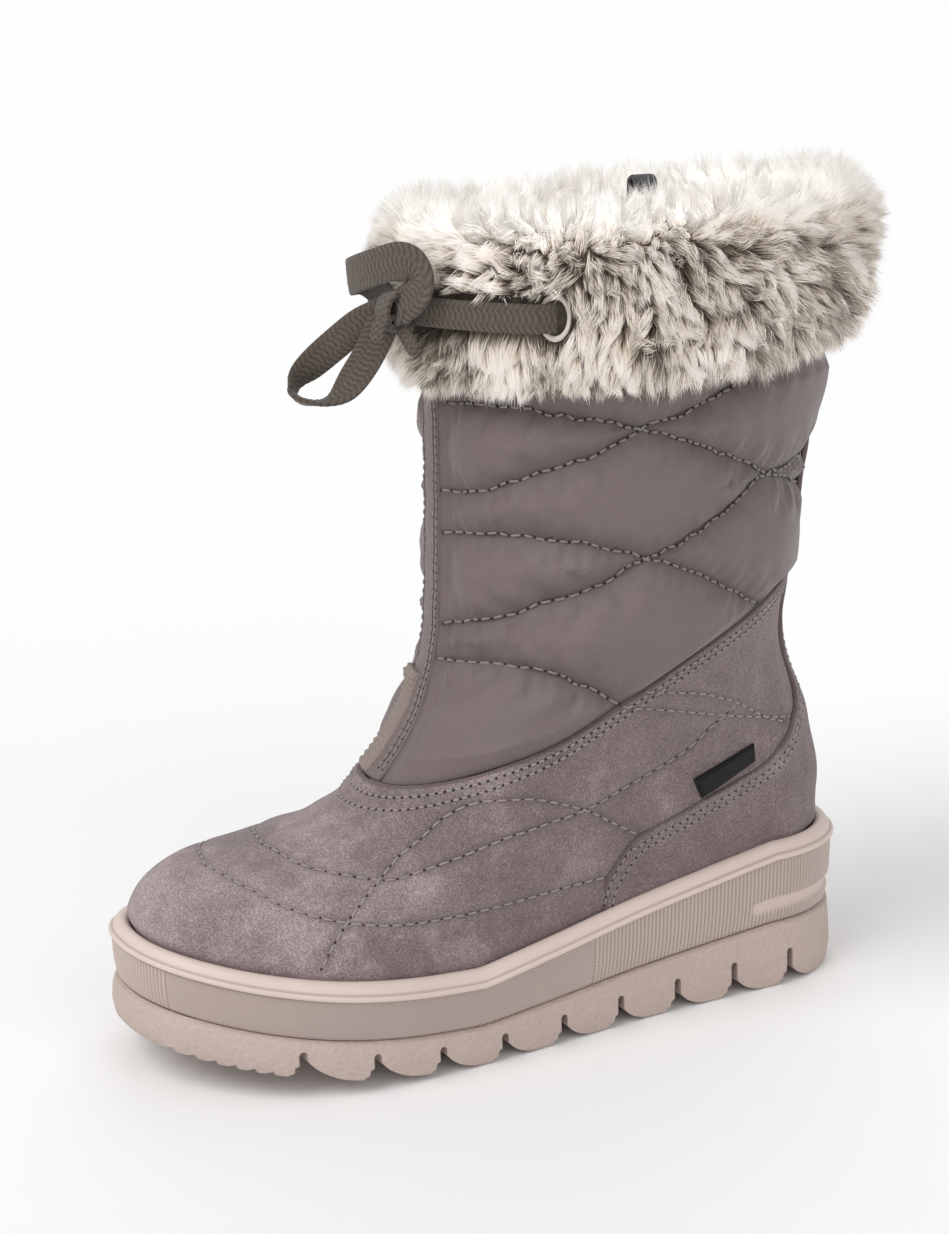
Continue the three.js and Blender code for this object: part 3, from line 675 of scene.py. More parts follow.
# lines of decorative stitching, from the sole line over the foot
SUEDE_SEAMS = both_sides([
    [(30, -45, 58), (31, -55, 64), (33, -65, 70), (34, -81, 76), (32, -90, 77), (30, -101, 77),
     (27, -110, 73),
     (27, -117, 68), (28, -125, 64), (31, -132, 60), (35, -141, 54), (37, -149, 46), (37, -154, 38)],
    [(32, -12, 96), (31, -25, 85), (31, -37, 79), (31, -49, 75), (33, -65, 70), (34, -77, 68), (34, -92, 66),
     (33, -109, 62), (33, -124, 60), (32, -132, 60), (26, -143, 62), (16, -152, 64), (0, -156, 66)],
    [(32, -57, 47), (34, -74, 47), (37, -103, 46), (39, -127, 47), (36, -146, 50), (29, -160, 55),
     (20, -167, 59),
     (12, -171, 61), (0, -174, 62)],
    [(39, -57, 103), (37, -37, 98), (31, -14, 92), (20, 16, 84)],
    [(40, -50, 107), (34, -30, 104), (32, -20, 100), (32, -12, 96), (28, 2, 88), (25, 12, 84)],
])
suede_runs = [laid(smooth_run(line), form_tree)[0] for line in SUEDE_SEAMS]


def crease_pair(line, width, depth):
    """A crease on the outer side, and its mirror on the inner side."""
    return [(side_line, width, depth) for side_line in both_sides([line])]


# soft troughs where the foot bends and where the ankle folds: points, half width and depth
FOOT_CREASES = [
    ([(-30, -128, 58), (-12, -134, 66), (6, -136, 69), (24, -132, 64), (31, -124, 56)], 5.0, 1.1),
    ([(-26, -118, 66), (-4, -126, 73), (14, -124, 73), (27, -116, 66)], 4.5, 0.9),
    *crease_pair([(33, -96, 72), (37, -80, 68), (36, -66, 62)], 6.0, 0.9),
    *crease_pair([(30, -30, 92), (30, -8, 84), (27, 6, 82)], 5.0, 0.8),
]


def troughs(points, creases):
    sunk = np.zeros(points.shape[:-1])
    for line, width, depth in creases:
        run = laid(smooth_run(line, 1.5), form_tree)[0]
        far, index = nearness(points, [run])
        fade = np.sin(np.pi * np.clip((index + 1) / (len(run) + 1), 0, 1)) ** 0.7
        swell = 0.45 * np.exp(-((far - 1.9 * width) / width) ** 2)
        sunk += depth * fade * (np.exp(-(far / width) ** 2) - swell)
    return sunk


def suede():
    """Brushed suede: a short nap that lies light or dark in patches, a fine speckle and a soft sheen."""
    finish = Finish("suede", 0.93, Sheen_Weight=0.35, Sheen_Roughness=0.45, Specular_IOR_Level=0.15)
    finish.shader.inputs["Sheen Tint"].default_value = (0.86, 0.8, 0.8, 1)
    where = finish.place()
    patches = finish.noise(34, 5, 0.6, where)
    brushed = finish.noise(150, 5, 0.65, where)
    speckle = finish.noise(1900, 3, 0.8, where)
    clump = finish.noise(760, 3, 0.7, where)
    y = finish.node("ShaderNodeSeparateXYZ", {"Vector": where}).outputs["Y"]
    to_toe = finish.node("ShaderNodeMapRange",
                         {"Value": y, "From Min": -0.055, "From Max": -0.14}).outputs[0]
    lie = finish.math("ADD", finish.math("MULTIPLY", patches, 0.62), finish.math("MULTIPLY", brushed, 0.3))
    lie = finish.math("ADD", lie, finish.math("MULTIPLY", to_toe, 0.12))
    nap = finish.ramp(lie, [(0.34, shade(115, 101, 101)), (0.5, shade(129, 115, 115)),
                            (0.66, shade(162, 147, 146))])
    fibre = finish.ramp(speckle,
                        [(0.35, (0.58, 0.57, 0.57)), (0.5, (0.98, 0.98, 0.98)), (0.65, (1.7, 1.67, 1.67))])
    tufted = finish.ramp(clump, [(0.3, (0.91, 0.91, 0.91)), (0.7, (1.1, 1.1, 1.1))])
    coat = finish.blend(0.9, finish.blend(1.0, nap, tufted, "MULTIPLY"), fibre, "MULTIPLY")
    # the mesh's tone darkens the colour: painted shade along seams, by the rim and at the counter's edges
    coat = finish.blend(finish.tone(), shade(92, 78, 78), coat)
    finish.bump((speckle, 0.3), (clump, 0.3), (brushed, 0.4))
    return finish.colour(coat)


def fleece():
    """Short pile lining, matted into small tufts."""
    finish = Finish("pile_lining", 0.95, Sheen_Weight=0.4, Specular_IOR_Level=0.1)
    tufts = finish.noise(420, 4, 0.7)
    cloud = finish.noise(60, 3)
    colour = finish.ramp(tufts, [(0.35, shade(118, 110, 104)), (0.65, shade(196, 188, 180))])
    finish.bump((tufts, 1.2), (cloud, 0.8))
    return finish.colour(colour)


suede_material = suede()
lining_material = fleece()


def ring_faces(rows, columns):
    """Quads between closed rows of points, with the last row joined to the first."""
    return grid_faces(rows + 1, columns, loop=True) % (rows * columns)


def wall_piece(name, low, high, turn, outer_rows, inner_rows, relief, material):
    """A closed wall of the boot between two levels: its outside, top edge, lined inside and foot."""
    level = low + (high - low) * np.linspace(0, 1, outer_rows)[:, None]
    turns_grid = np.broadcast_to(turn, level.shape)
    plain = bare_last(level, turns_grid)
    out, tone = relief(plain)
    outside = plain + last_normal(level, turns_grid) * out[..., None]
    inside = on_last(low + (high - low) * np.linspace(1, 0, inner_rows)[:, None], turn, -UPPER_WALL)
    points = np.concatenate([outside, inside])
    rows, columns = len(points), len(turn)
    faces = ring_faces(rows, columns)
    uv = np.stack([(np.broadcast_to(turn, (rows, columns)) - 0.5) * CLOTH_GIRTH, points[..., 2]], -1)
    piece = make_piece(name, points, faces, material, uv)
    piece.data.materials.append(lining_material)
    inner = np.zeros(len(faces), np.int32)
    inner[(outer_rows + 1) * columns:] = 1
    piece.data.polygons.foreach_set("material_index", inner)
    add_tone(piece, np.concatenate([tone, np.ones(inside.shape[:2])]))
    return piece, outside


def suede_relief(points):
    far, _ = nearness(points, suede_runs)
    out = 0.35 - 0.55 * np.exp(-(far / 1.1) ** 2) - troughs(points, FOOT_CREASES)
    to_edge = np.interp(points[..., 1], edge_y, edge_z) - points[..., 2]
    above_rim = points[..., 2] - ridge(points[..., 1])
    out = out + 0.45 * np.exp(-(to_edge / 6) ** 2) + 0.7 * np.exp(-((above_rim - 6) / 4) ** 2)
    out = np.where(to_edge < 0.45, out - 0.35, out)
    # painted shade: darker in the sunk stitch lines and just above the rim; a dark line along the cut edge
    tone = np.clip(1 - 0.4 * np.exp(-(far / 1.2) ** 2) - 0.3 * np.exp(-(above_rim / 2.6) ** 2), 0, 1)
    return out, np.where(to_edge < 0.8, 0.25, tone)


foot_low = np.zeros(FOOT_COLUMNS)
foot_high = suede_edge_level(foot_turns)
foot, foot_outside = wall_piece("suede_foot", foot_low, foot_high, foot_turns, 120, 30, suede_relief,
                                suede_material)
foot_tree = tree_of(foot_outside, FOOT_COLUMNS)
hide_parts("upper")

# ---- heel counter and back stay ----
# A second layer of the same suede wraps the heel, cut raw and stitched down, and runs on as a narrow stay
# that covers the back seam up to the cuff.
COUNTER_EDGE_Y = [-60, -60, -57, -51, -45, -33, -22, -1, 8, 14, 17.5, 16.5, 13.5, 12.7, 13.9]
COUNTER_EDGE_Z = [36.5, 40, 47, 54, 58, 61.5, 65, 72, 77, 83, 91, 98, 106, 114, 124]
COUNTER_THICKNESS = 1.5
STAY_HALF = 17
STAY_FROM = 118
STAY_TOP = 207.5


def level_at(z, turn):
    """The level at which the form has the height z."""
    return level_where(lambda p: p[..., 2] - z, turn)


def place_on(y, z):
    """The level and turn of points on the outer side, from their side view."""
    y, z = np.broadcast_arrays(np.asarray(y, float), np.asarray(z, float))
    low, high = np.zeros(y.shape), np.full(y.shape, 0.5)
    for _ in range(22):
        turn = (low + high) / 2
        level = level_at(z, turn)
        ahead = bare_last(level, turn)[..., 1] < y
        low, high = np.where(ahead, turn, low), np.where(ahead, high, turn)
    return level, turn


def stay_turn(z, half_width):
    """The turn at which the back of the leg is half_width from the middle."""
    z = np.asarray(z, float)
    low, high = np.full(z.shape, 0.3), np.full(z.shape, 0.5)
    for _ in range(22):
        turn = (low + high) / 2
        wide = bare_last(level_at(z, turn), turn)[..., 0] > half_width
        low, high = np.where(wide, turn, low), np.where(wide, high, turn)
    return turn


def slab(name, points, normals, top, bottom, material, uv=None):
    """A closed sheet: its upper side at top, its under side at bottom, and walls all round."""
    rows, columns = points.shape[:2]
    under = points + normals * bottom
    both = np.concatenate([(points + normals * top[..., None]).reshape(-1, 3), under.reshape(-1, 3)])
    count = rows * columns
    index = np.arange(count).reshape(rows, columns)
    rim = np.concatenate([index[0, :-1], index[:-1, -1], index[-1, :0:-1], index[:0:-1, 0]])
    walls = np.stack([rim, rim + count, np.roll(rim, -1) + count, np.roll(rim, -1)], -1)
    faces = grid_faces(rows, columns)
    flat_uv = None if uv is None else np.concatenate([uv.reshape(-1, 2)] * 2)
    return make_piece(name, both, np.concatenate([faces, faces[:, ::-1] + count, walls]), material, flat_uv)


edge_line = smooth_run(np.stack([COUNTER_EDGE_Y, COUNTER_EDGE_Z, COUNTER_EDGE_Z], -1), 1.6)[:, :2]
edge_line = edge_line[edge_line[:, 1] < STAY_FROM + 6]
_, low_turn = place_on(edge_line[:, 0], edge_line[:, 1])
stay_heights = np.arange(edge_line[-1, 1] + 1.6, STAY_TOP, 1.6)
edge_heights = np.concatenate([edge_line[:, 1], stay_heights])
high_turn = stay_turn(edge_heights, STAY_HALF)
to_stay = np.clip((edge_heights - 106) / 14, 0, 1)
edge_turn = mix(np.concatenate([low_turn, high_turn[len(low_turn):]]), high_turn, to_stay)

COUNTER_COLUMNS = 84
across_heel = np.linspace(0, 1, COUNTER_COLUMNS)
counter_turn = edge_turn[:, None] + (1 - 2 * edge_turn[:, None]) * across_heel
follow = np.clip((75 - edge_heights) / (75 - COUNTER_EDGE_Z[0]), 0, 1)[:, None]
edge_ridge = ridge(np.concatenate([edge_line[:, 0], np.full(len(stay_heights), 20.0)]))[:, None]
rise = edge_heights[:, None]
counter_level = level_where(lambda p: p[..., 2] - rise - follow * (ridge(p[..., 1]) - edge_ridge),
                            counter_turn)
counter_form = bare_last(counter_level, counter_turn)
side_gap = np.linalg.norm(counter_form - counter_form[:, :1], axis=-1)
side_gap = np.minimum(side_gap, np.linalg.norm(counter_form - counter_form[:, -1:], axis=-1))
top_gap = np.abs(STAY_TOP - counter_form[..., 2])
edge_gap = np.minimum(side_gap, top_gap)


def rolled_edge(gap, radius):
    return np.sqrt(np.clip(1 - (1 - np.clip(gap / radius, 0, 1)) ** 2, 0, 1))


counter_y, counter_z = counter_form[..., 1], counter_form[..., 2]
bumps = 0.25 * np.sin(counter_y * 0.31 + counter_z * 0.22) * np.sin(counter_z * 0.17)
counter_top = 0.5 + (COUNTER_THICKNESS - 0.1 + bumps) * rolled_edge(edge_gap, 1.1)
counter_top = counter_top - troughs(counter_form, FOOT_CREASES[-2:]) * 0.6
counter_normals = last_normal(counter_level, counter_turn)
counter = slab("heel_counter_suede", counter_form, counter_normals, counter_top, 0.1, suede_material)
# darker towards its rolled edges and on its under side: painted shade where the counter meets the suede
# beneath
counter_tone = np.clip(0.12 + edge_gap / 1.2, 0, 1)
add_tone(counter, np.concatenate([counter_tone.ravel(), np.full(counter_tone.size, 0.1)]))
counter_tree = tree_of(counter_form + counter_normals * counter_top[..., None], COUNTER_COLUMNS, loop=False)
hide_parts("heel_counter")

# ---- insole ----
# A loose bed of pressed felt, cupped a little at the heel, lying on the floor of the midsole's cup.
INSOLE_ROWS = 70
INSOLE_COLUMNS = 24
insole_along = np.linspace(0.012, 0.988, INSOLE_ROWS)[:, None]
insole_across = np.linspace(-1, 1, INSOLE_COLUMNS)[None]
insole_turn = np.arccos(1 - 2 * insole_along) / (2 * np.pi)
outer_line = on_last(0, insole_turn)
inner_line = on_last(0, 1 - insole_turn)
insole_middle = (outer_line[..., 0] + inner_line[..., 0]) / 2
insole_half = (outer_line[..., 0] - inner_line[..., 0]) / 2 - UPPER_WALL - GAP
insole_x = insole_middle + np.maximum(insole_half, 1.0) * insole_across
insole_y = np.broadcast_to(outer_line[..., 1], insole_x.shape) * 0.965 - 2.6
insole_foot = cup_floor(insole_y) + GAP
insole_thick = 3.6 + 0.4 * np.abs(insole_across) ** 3
insole_form = np.stack([insole_x, insole_y, insole_foot], -1)
insole_up = np.broadcast_to((0.0, 0.0, 1.0), insole_form.shape)


def felt():
    """Pressed grey-beige felt with short loose fibres."""
    finish = Finish("pressed_felt", 0.95, Sheen_Weight=0.3, Specular_IOR_Level=0.1)
    fibre = finish.noise(900, 4, 0.75)
    cloud = finish.noise(50, 3)
    finish.bump((fibre, 0.4), (cloud, 0.3))
    return finish.colour(finish.ramp(fibre, [(0.35, shade(140, 133, 126)), (0.65, shade(188, 180, 172))]))


insole = slab("felt_insole", insole_form, insole_up, insole_thick, 0.0, felt())
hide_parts("insole")

# ---- flag label ----
# A small folded tab of black woven ribbon, caught in the seam over the outer side of the counter.
# It is blank.
LABEL_CORNERS = np.array([(-25, 72.5), (-3, 80.5), (-2, 74.5), (-22, 66)])
LABEL_LENGTH = 23
LABEL_WIDTH = 7
label_along = np.linspace(0, 1, 34)
label_down = np.linspace(0, 1, 12)
top_line = mix(LABEL_CORNERS[0], LABEL_CORNERS[1], label_along[:, None])
foot_line = mix(LABEL_CORNERS[3], LABEL_CORNERS[2], label_along[:, None])
label_side = mix(top_line, foot_line, label_down[:, None, None])
label_level, label_turn = place_on(label_side[..., 0], label_side[..., 1])
label_form = bare_last(label_level, label_turn)
label_gap = np.minimum(np.minimum(label_along, 1 - label_along) * LABEL_LENGTH,
                       np.minimum(label_down, 1 - label_down)[:, None] * LABEL_WIDTH)
label_top = 1.5 + 0.9 * rolled_edge(label_gap, 0.5) + 0.25 * np.sin(label_along * 5)


def woven_ribbon(name, dark, light, pitch):
    """Fine ribbon weave: two sets of yarn crossing, with a slight satin gloss."""
    finish = Finish(name, 0.66, Sheen_Weight=0.05, Specular_IOR_Level=0.25)
    inputs = {"Vector": finish.place("UV"), "Scale": pitch, "Distortion": 0.4}
    warp = finish.node("ShaderNodeTexWave", inputs)
    weft = finish.node("ShaderNodeTexWave", inputs, bands_direction="Y")
    yarn = finish.math("MULTIPLY", warp.outputs["Fac"], weft.outputs["Fac"])
    fluff = finish.noise(500, 3)
    finish.bump((yarn, 0.12), (fluff, 0.1))
    return finish.colour(finish.blend(finish.math("ADD", yarn, finish.math("MULTIPLY", fluff, 0.4)), dark,
                                      light))


label_uv = np.stack(np.broadcast_arrays(label_along * LABEL_LENGTH, label_down[:, None] * LABEL_WIDTH), -1)
label_weave = woven_ribbon("black_ribbon", shade(16, 15, 17), shade(34, 33, 35), 800)
label_normals = last_normal(label_level, label_turn)
label = slab("label_ribbon", label_form, label_normals, label_top, 0.6, label_weave, label_uv)
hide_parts("label_tab")

# ---- quilted shaft ----
# Satin twill over padding, stitched through in long crossing lines so that it puffs up between them.
# A plain seam runs down the front. The wall is lined with short pile.
SHAFT_COLUMNS = 330
SHAFT_TOP = 226
QUILT_LINES = both_sides([
    [(1, -97, 191), (20, -92, 193), (36, -77, 191), (45, -56, 187), (47, -30, 178), (41, -7, 168),
     (24, 17, 160), (15, 25, 157)],
    [(-2, -97, 165), (17, -93, 167), (30, -83, 173), (41, -66, 180), (45, -56, 186), (48, -40, 191),
     (48, -26, 197),
     (45, -10, 203), (36, 8, 208)],
    [(-1, -97, 152), (30, -83, 155), (44, -57, 150), (45, -33, 141), (38, -9, 128)],
    [(0, -98, 124), (8, -97, 126), (23, -89, 130), (33, -79, 136), (40, -67, 140), (44, -54, 147),
     (46, -43, 151),
     (45, -23, 161), (42, -10, 168), (23, 17, 170), (15, 25, 171)],
    [(2, -99, 114), (22, -91, 117), (32, -81, 115), (38, -68, 110), (39, -57, 103)],
    [(2, -98, 203), (24, -92, 204), (42, -66, 207), (50, -34, 208), (42, -2, 209), (20, 24, 211)],
])
FRONT_SEAMS = [
    [(2.2, -98, 205), (2.2, -97, 170), (2.2, -97, 130), (3.2, -101, 106), (5.2, -108, 93), (7, -117, 82)],
    [(-11, -97.5, 205), (-11, -97, 170), (-11, -97, 130), (-11, -100, 106), (-10, -107, 93), (-9, -117, 82)],
]
quilt_runs = [laid(smooth_run(line), form_tree)[0] for line in QUILT_LINES]
seam_runs = [laid(smooth_run(line), form_tree)[0] for line in FRONT_SEAMS]
SHAFT_CREASES = [
    ([(-20, -92, 122), (0, -98, 119), (20, -91, 122), (34, -76, 127)], 4.0, 1.0),
    ([(-28, -86, 104), (-8, -101, 101), (14, -98, 103), (27, -86, 107)], 4.0, 0.9),
    *crease_pair([(38, -20, 120), (34, -2, 124), (24, 10, 130)], 5.0, 1.2),
]


def satin_twill():
    """Taupe satin twill: fine slanting ribs, a silky sheen, and painted shade along the quilting, where the
    padding pulls it down.
    """
    finish = Finish("satin_twill", 0.5, Sheen_Weight=0.25, Sheen_Roughness=0.35, Specular_IOR_Level=0.42)
    uv = finish.place("UV")
    turned = finish.node("ShaderNodeMapping", {"Vector": uv, "Rotation": (0, 0, math.radians(38))})
    ribs = finish.node("ShaderNodeTexWave",
                       {"Vector": turned.outputs["Vector"], "Scale": 470.0, "Distortion": 1.2,
                                             "Detail": 2.0, "Detail Scale": 1.5})
    yarn = finish.node("ShaderNodeMapping", {"Vector": turned.outputs["Vector"], "Scale": (60, 900, 1)})
    streak = finish.noise(1.6, 3, 0.6, yarn.outputs["Vector"])
    cloud = finish.noise(26, 4, 0.55)
    crumple = finish.noise(75, 3, 0.5)
    grain = finish.noise(1600, 2, 0.7)
    rib_share = finish.math("MULTIPLY", ribs.outputs["Fac"], 0.6)
    rib_share = finish.math("ADD", rib_share, finish.math("MULTIPLY", grain, 0.5))
    cloth = finish.blend(rib_share, shade(94, 82, 81), shade(138, 122, 121))
    cloth = finish.blend(finish.math("MULTIPLY", streak, 0.55), cloth, shade(112, 99, 97))
    cloth = finish.blend(finish.math("MULTIPLY", cloud, 0.4), cloth, shade(100, 88, 86))
    # the mesh's tone darkens the cloth: painted shade along seams and under the suede's edge
    cloth = finish.blend(finish.tone(), shade(62, 54, 53), cloth)
    finish.bump((ribs.outputs["Fac"], 0.08), (streak, 0.06), (crumple, 1.1), (cloud, 0.8))
    finish.vary_roughness(streak, 0.4, 0.62)
    return finish.colour(cloth)


def smooth_noise(points, size, seed):
    """Slow random variation over space: a sum of a few waves."""
    waves = np.random.default_rng(seed)
    total = np.zeros(points.shape[:-1])
    for _ in range(9):
        direction = waves.normal(size=3)
        direction = direction / np.linalg.norm(direction)
        phase = points @ direction * (2 * np.pi / size) * waves.uniform(0.6, 1.7)
        total += np.sin(phase + waves.uniform(0, 6.3))
    return total / 3


def shaft_relief(points):
    far, index = nearness(points, quilt_runs)
    seam_far, _ = nearness(points, seam_runs)
    pucker = np.sin(index * 0.55) * np.sin(index * 0.23 + 1.3) * np.exp(-((far - 4) / 4) ** 2)
    stay_far = np.where(points[..., 1] > -10, np.clip((np.abs(points[..., 0]) - STAY_HALF) / 8, 0, 1), 1)
    puff = 5.0 * (1 - np.exp(-(far / 6.0) ** 1.05)) * (1 - np.exp(-(seam_far / 7) ** 1.4)) * stay_far
    drawn = np.sin(index * 0.31 + far * 0.35) * np.exp(-((far - 6) / 6) ** 2)
    billow = smooth_noise(points, 34, 41) * 0.55 * (1 - np.exp(-(far / 5) ** 2))
    out = -1.7 + puff + 0.6 * pucker + 0.45 * drawn + billow - troughs(points, SHAFT_CREASES)
    out = mix(0.45, out, 1 - np.exp(-(seam_far / 3) ** 2))
    under_tape = (points[..., 1] < -80) & (points[..., 0] < 1.5) & (points[..., 0] > -10.2)
    out = np.where(under_tape, -0.7, out)
    top = np.clip((points[..., 2] - 196) / 6, 0, 1)
    out = mix(out, np.minimum(out, 0.3), top)
    low = np.clip((points[..., 2] - np.interp(points[..., 1], edge_y, edge_z)) / 5, 0, 1)
    out = mix(-0.2, out, low)
    # painted shade: darker along the quilting lines and the front seam, and low down under the suede's edge
    tone = 1 - 0.5 * np.exp(-(far / 0.8) ** 2) - (0.24 + 0.12 * pucker) * np.exp(-(far / 4) ** 2)
    tone = tone - 0.25 * np.exp(-(seam_far / 0.6) ** 2) - 0.55 * np.exp(-(low * 5 / 1.2) ** 2)
    return out, np.clip(tone, 0, 1)


shaft_turns = np.arange(SHAFT_COLUMNS) / SHAFT_COLUMNS
shaft_low = suede_edge_level(shaft_turns, GAP)
shaft_high = level_at(SHAFT_TOP, shaft_turns)
shaft, shaft_outside = wall_piece("quilted_shaft", shaft_low, shaft_high, shaft_turns, 150, 24, shaft_relief,
                                  satin_twill())
shaft_tree = tree_of(shaft_outside, SHAFT_COLUMNS)
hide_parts("shaft")

# ---- front strip ----
# A narrow tape of the same twill covers the front seam. At the throat it gives way to a ribbed elastic
# insert, with a small raw fold where the two meet.
STRIP_TOP = 202
strip_heights = np.arange(79.6, STRIP_TOP, 0.8)
strip_middle = np.interp(strip_heights, [80, 93, 106, 130, 205], [-1.9, -2.45, -3.9, -4.35, -4.35])
strip_half = np.interp(strip_heights, [80, 93, 106, 205], [7.9, 7.25, 6.5, 6.15])
ELASTIC_TOP = 108
ELASTIC_HALF = 5.6


def front_places(heights, x):
    """Levels and turns on the front of the leg at given heights and distances from the middle."""
    turn = np.zeros(x.shape)
    for _ in range(8):
        level = level_at(heights, turn)
        turn = turn + (x - bare_last(level, turn)[..., 0]) * 0.0022
    return level, turn


strip_across = np.linspace(-1, 1, 21)
strip_x = strip_middle[:, None] + strip_half[:, None] * strip_across
strip_level, strip_turn = front_places(strip_heights[:, None], strip_x)
strip_form = bare_last(strip_level, strip_turn)
strip_rolled = rolled_edge((1 - np.abs(strip_across)) * 7, 0.9)
strip_top = 0.15 + 0.75 * strip_rolled + 0.1 * np.sin(strip_heights * 0.5)[:, None]
strip_uv = np.stack([strip_x, np.broadcast_to(strip_heights[:, None], strip_x.shape)], -1)
strip_normals = last_normal(strip_level, strip_turn)
tape = slab("front_tape", strip_form, strip_normals, strip_top, -1.2, shaft.data.materials[0], strip_uv)
# the tape's rolled edges are darker: painted shade where it meets the shaft
add_tone(tape, np.tile(0.35 + 0.65 * strip_rolled, 2 * len(strip_form)))

elastic_heights = np.arange(79.8, ELASTIC_TOP, 0.25)
elastic_across = np.linspace(-1, 1, 15)
elastic_x = np.interp(elastic_heights, [80, 108], [-7.6, -9.4])[:, None] + ELASTIC_HALF * elastic_across
elastic_level, elastic_turn = front_places(elastic_heights[:, None], elastic_x)
elastic_form = bare_last(elastic_level, elastic_turn)
elastic_rolled = rolled_edge((1 - np.abs(elastic_across)) * ELASTIC_HALF, 1.0)
ribbing = 0.28 * np.sin(elastic_heights * 2 * np.pi / 1.7)[:, None]
fold_bump = 1.5 * np.exp(-((elastic_heights - 105.5) / 1.9) ** 2)[:, None]
elastic_top = 0.7 + (1.1 + ribbing + fold_bump) * elastic_rolled
elastic_uv = np.stack([elastic_x, np.broadcast_to(elastic_heights[:, None], elastic_x.shape)], -1)
elastic_weave = woven_ribbon("ribbed_elastic", shade(122, 109, 102), shade(172, 158, 150), 700)
elastic_normals = last_normal(elastic_level, elastic_turn)
elastic = slab("front_elastic", elastic_form, elastic_normals, elastic_top, 0.3, elastic_weave, elastic_uv)
strip_tree = tree_of(strip_form + strip_normals * strip_top[..., None], len(strip_across), loop=False)

# ---- stitching ----
# Thick polyester thread in lockstitch: each stitch is a short plump bar, and between two stitches the needle
# leaves a hole, drawn as a flat dark lens of painted shade.
THREAD_SIDES = 6
STITCH_PROFILE = [(-0.5, 0.45, -0.5), (-0.36, 0.9, 0.1), (0.0, 1.0, 0.35), (0.36, 0.9, 0.1),
                  (0.5, 0.45, -0.5)]


def round_angles(count):
    return np.arange(count) * 2 * np.pi / count


def stitch_row(line, surface, pitch, share=0.74):
    """Stitches along a line on a surface: their middles, directions along and directions out."""
    spots, _ = laid(line, surface)
    _, out = laid(line, form_tree)
    length = distance_along(spots)
    count = max(2, int(length[-1] / pitch))
    ends = np.linspace(0, length[-1], count + 1)
    place = np.stack([np.interp(ends, length, spots[:, i]) for i in range(3)], -1)
    lift = np.stack([np.interp((ends[1:] + ends[:-1]) / 2, length, out[:, i]) for i in range(3)], -1)
    along = place[1:] - place[:-1]
    lift = unit(lift - along * (np.sum(lift * along, -1) / np.sum(along * along, -1))[:, None])
    return (place[1:] + place[:-1]) / 2, along * share, lift, place


def thread_piece(name, rows, radius, material):
    middle, along, lift = (np.concatenate([row[i] for row in rows]) for i in range(3))
    side = unit(np.cross(lift, along))
    angles = round_angles(THREAD_SIDES)
    rings = []
    for place, fat, up in STITCH_PROFILE:
        centre = middle + along * place + lift * radius * (up + 0.25)
        across = side[:, None] * np.cos(angles)[:, None] + lift[:, None] * 0.8 * np.sin(angles)[:, None]
        rings.append(centre[:, None] + radius * fat * across)
    points = np.stack(rings, 1)
    each = len(STITCH_PROFILE) * THREAD_SIDES
    one = grid_faces(len(STITCH_PROFILE), THREAD_SIDES, loop=True)
    starts = np.arange(len(middle)) * each
    faces = (one[None] + starts[:, None, None]).reshape(-1, 4).tolist()
    for start in starts.tolist():
        faces.append([start + i for i in range(THREAD_SIDES)])
        faces.append([start + each - 1 - i for i in range(THREAD_SIDES)])
    make_piece(name, points, faces, material)


def hole_piece(name, rows, radius, material):
    """Needle holes: flat dark lenses of painted shade, sunk level with the surface."""
    spots = np.concatenate([row[3] for row in rows])
    _, out = laid(spots, form_tree)
    side = unit(np.cross(out, (0, 0, 1)))
    up = np.cross(side, out)
    angles = round_angles(THREAD_SIDES)
    across = side[:, None] * np.cos(angles)[:, None] + up[:, None] * np.sin(angles)[:, None]
    ring = spots[:, None] + radius * across
    points = np.concatenate([ring, (spots + out * 0.16)[:, None], (spots - out * 0.2)[:, None]], 1)
    each = THREAD_SIDES + 2
    faces = []
    for i in range(THREAD_SIDES):
        after = (i + 1) % THREAD_SIDES
        faces += [(i, after, THREAD_SIDES), (after, i, THREAD_SIDES + 1)]
    faces = np.array(faces)[None] + (np.arange(len(spots)) * each)[:, None, None]
    make_piece(name, points, faces.reshape(-1, 3), material)


def sewn(name, rows, thread_radius, hole_radius, material):
    """The stitches of several rows, and the needle holes between them."""
    thread_piece(name + "_stitches", rows, thread_radius, material)
    hole_piece(name + "_needle_holes", rows, hole_radius, hole_shade)


def thread(name, dark, light):
    """Twisted polyester thread with a low gloss."""
    finish = Finish(name, 0.55, Sheen_Weight=0.2)
    twist = finish.noise(1500, 2)
    finish.bump((twist, 0.1))
    return finish.colour(finish.blend(twist, dark, light))


def edge_offset(line, distance):
    """A side-view line moved to its right-hand side."""
    ahead = unit(np.gradient(line, axis=0))
    return line + np.stack([ahead[:, 1], -ahead[:, 0]], -1) * distance


def side_view_run(line):
    level, turn = place_on(line[:, 0], line[:, 1])
    return [bare_last(level, turn), bare_last(level, 1 - turn)]


# the needle holes are dark discs of painted shade
hole_shade = plain_material("needle_hole", shade(48, 42, 42), 0.9)
shaft_thread = thread("shaft_thread", shade(108, 100, 98), shade(150, 141, 137))
suede_thread = thread("suede_thread", shade(128, 122, 121), shade(166, 160, 158))

shaft_rows = [stitch_row(run, shaft_tree, 4.2) for run in quilt_runs]
sewn("quilt", shaft_rows, 0.42, 0.58, shaft_thread)

tape_edges = []
for side, first in ((-0.8, 40), (0.5, 3), (0.85, 3)):
    at = int(round((side + 1) / 2 * (len(strip_across) - 1)))
    tape_edges.append(smooth_run(strip_form[first::6, at]))
tape_rows = [stitch_row(run, strip_tree, 2.7) for run in tape_edges]
sewn("tape", tape_rows, 0.4, 0.44, shaft_thread)

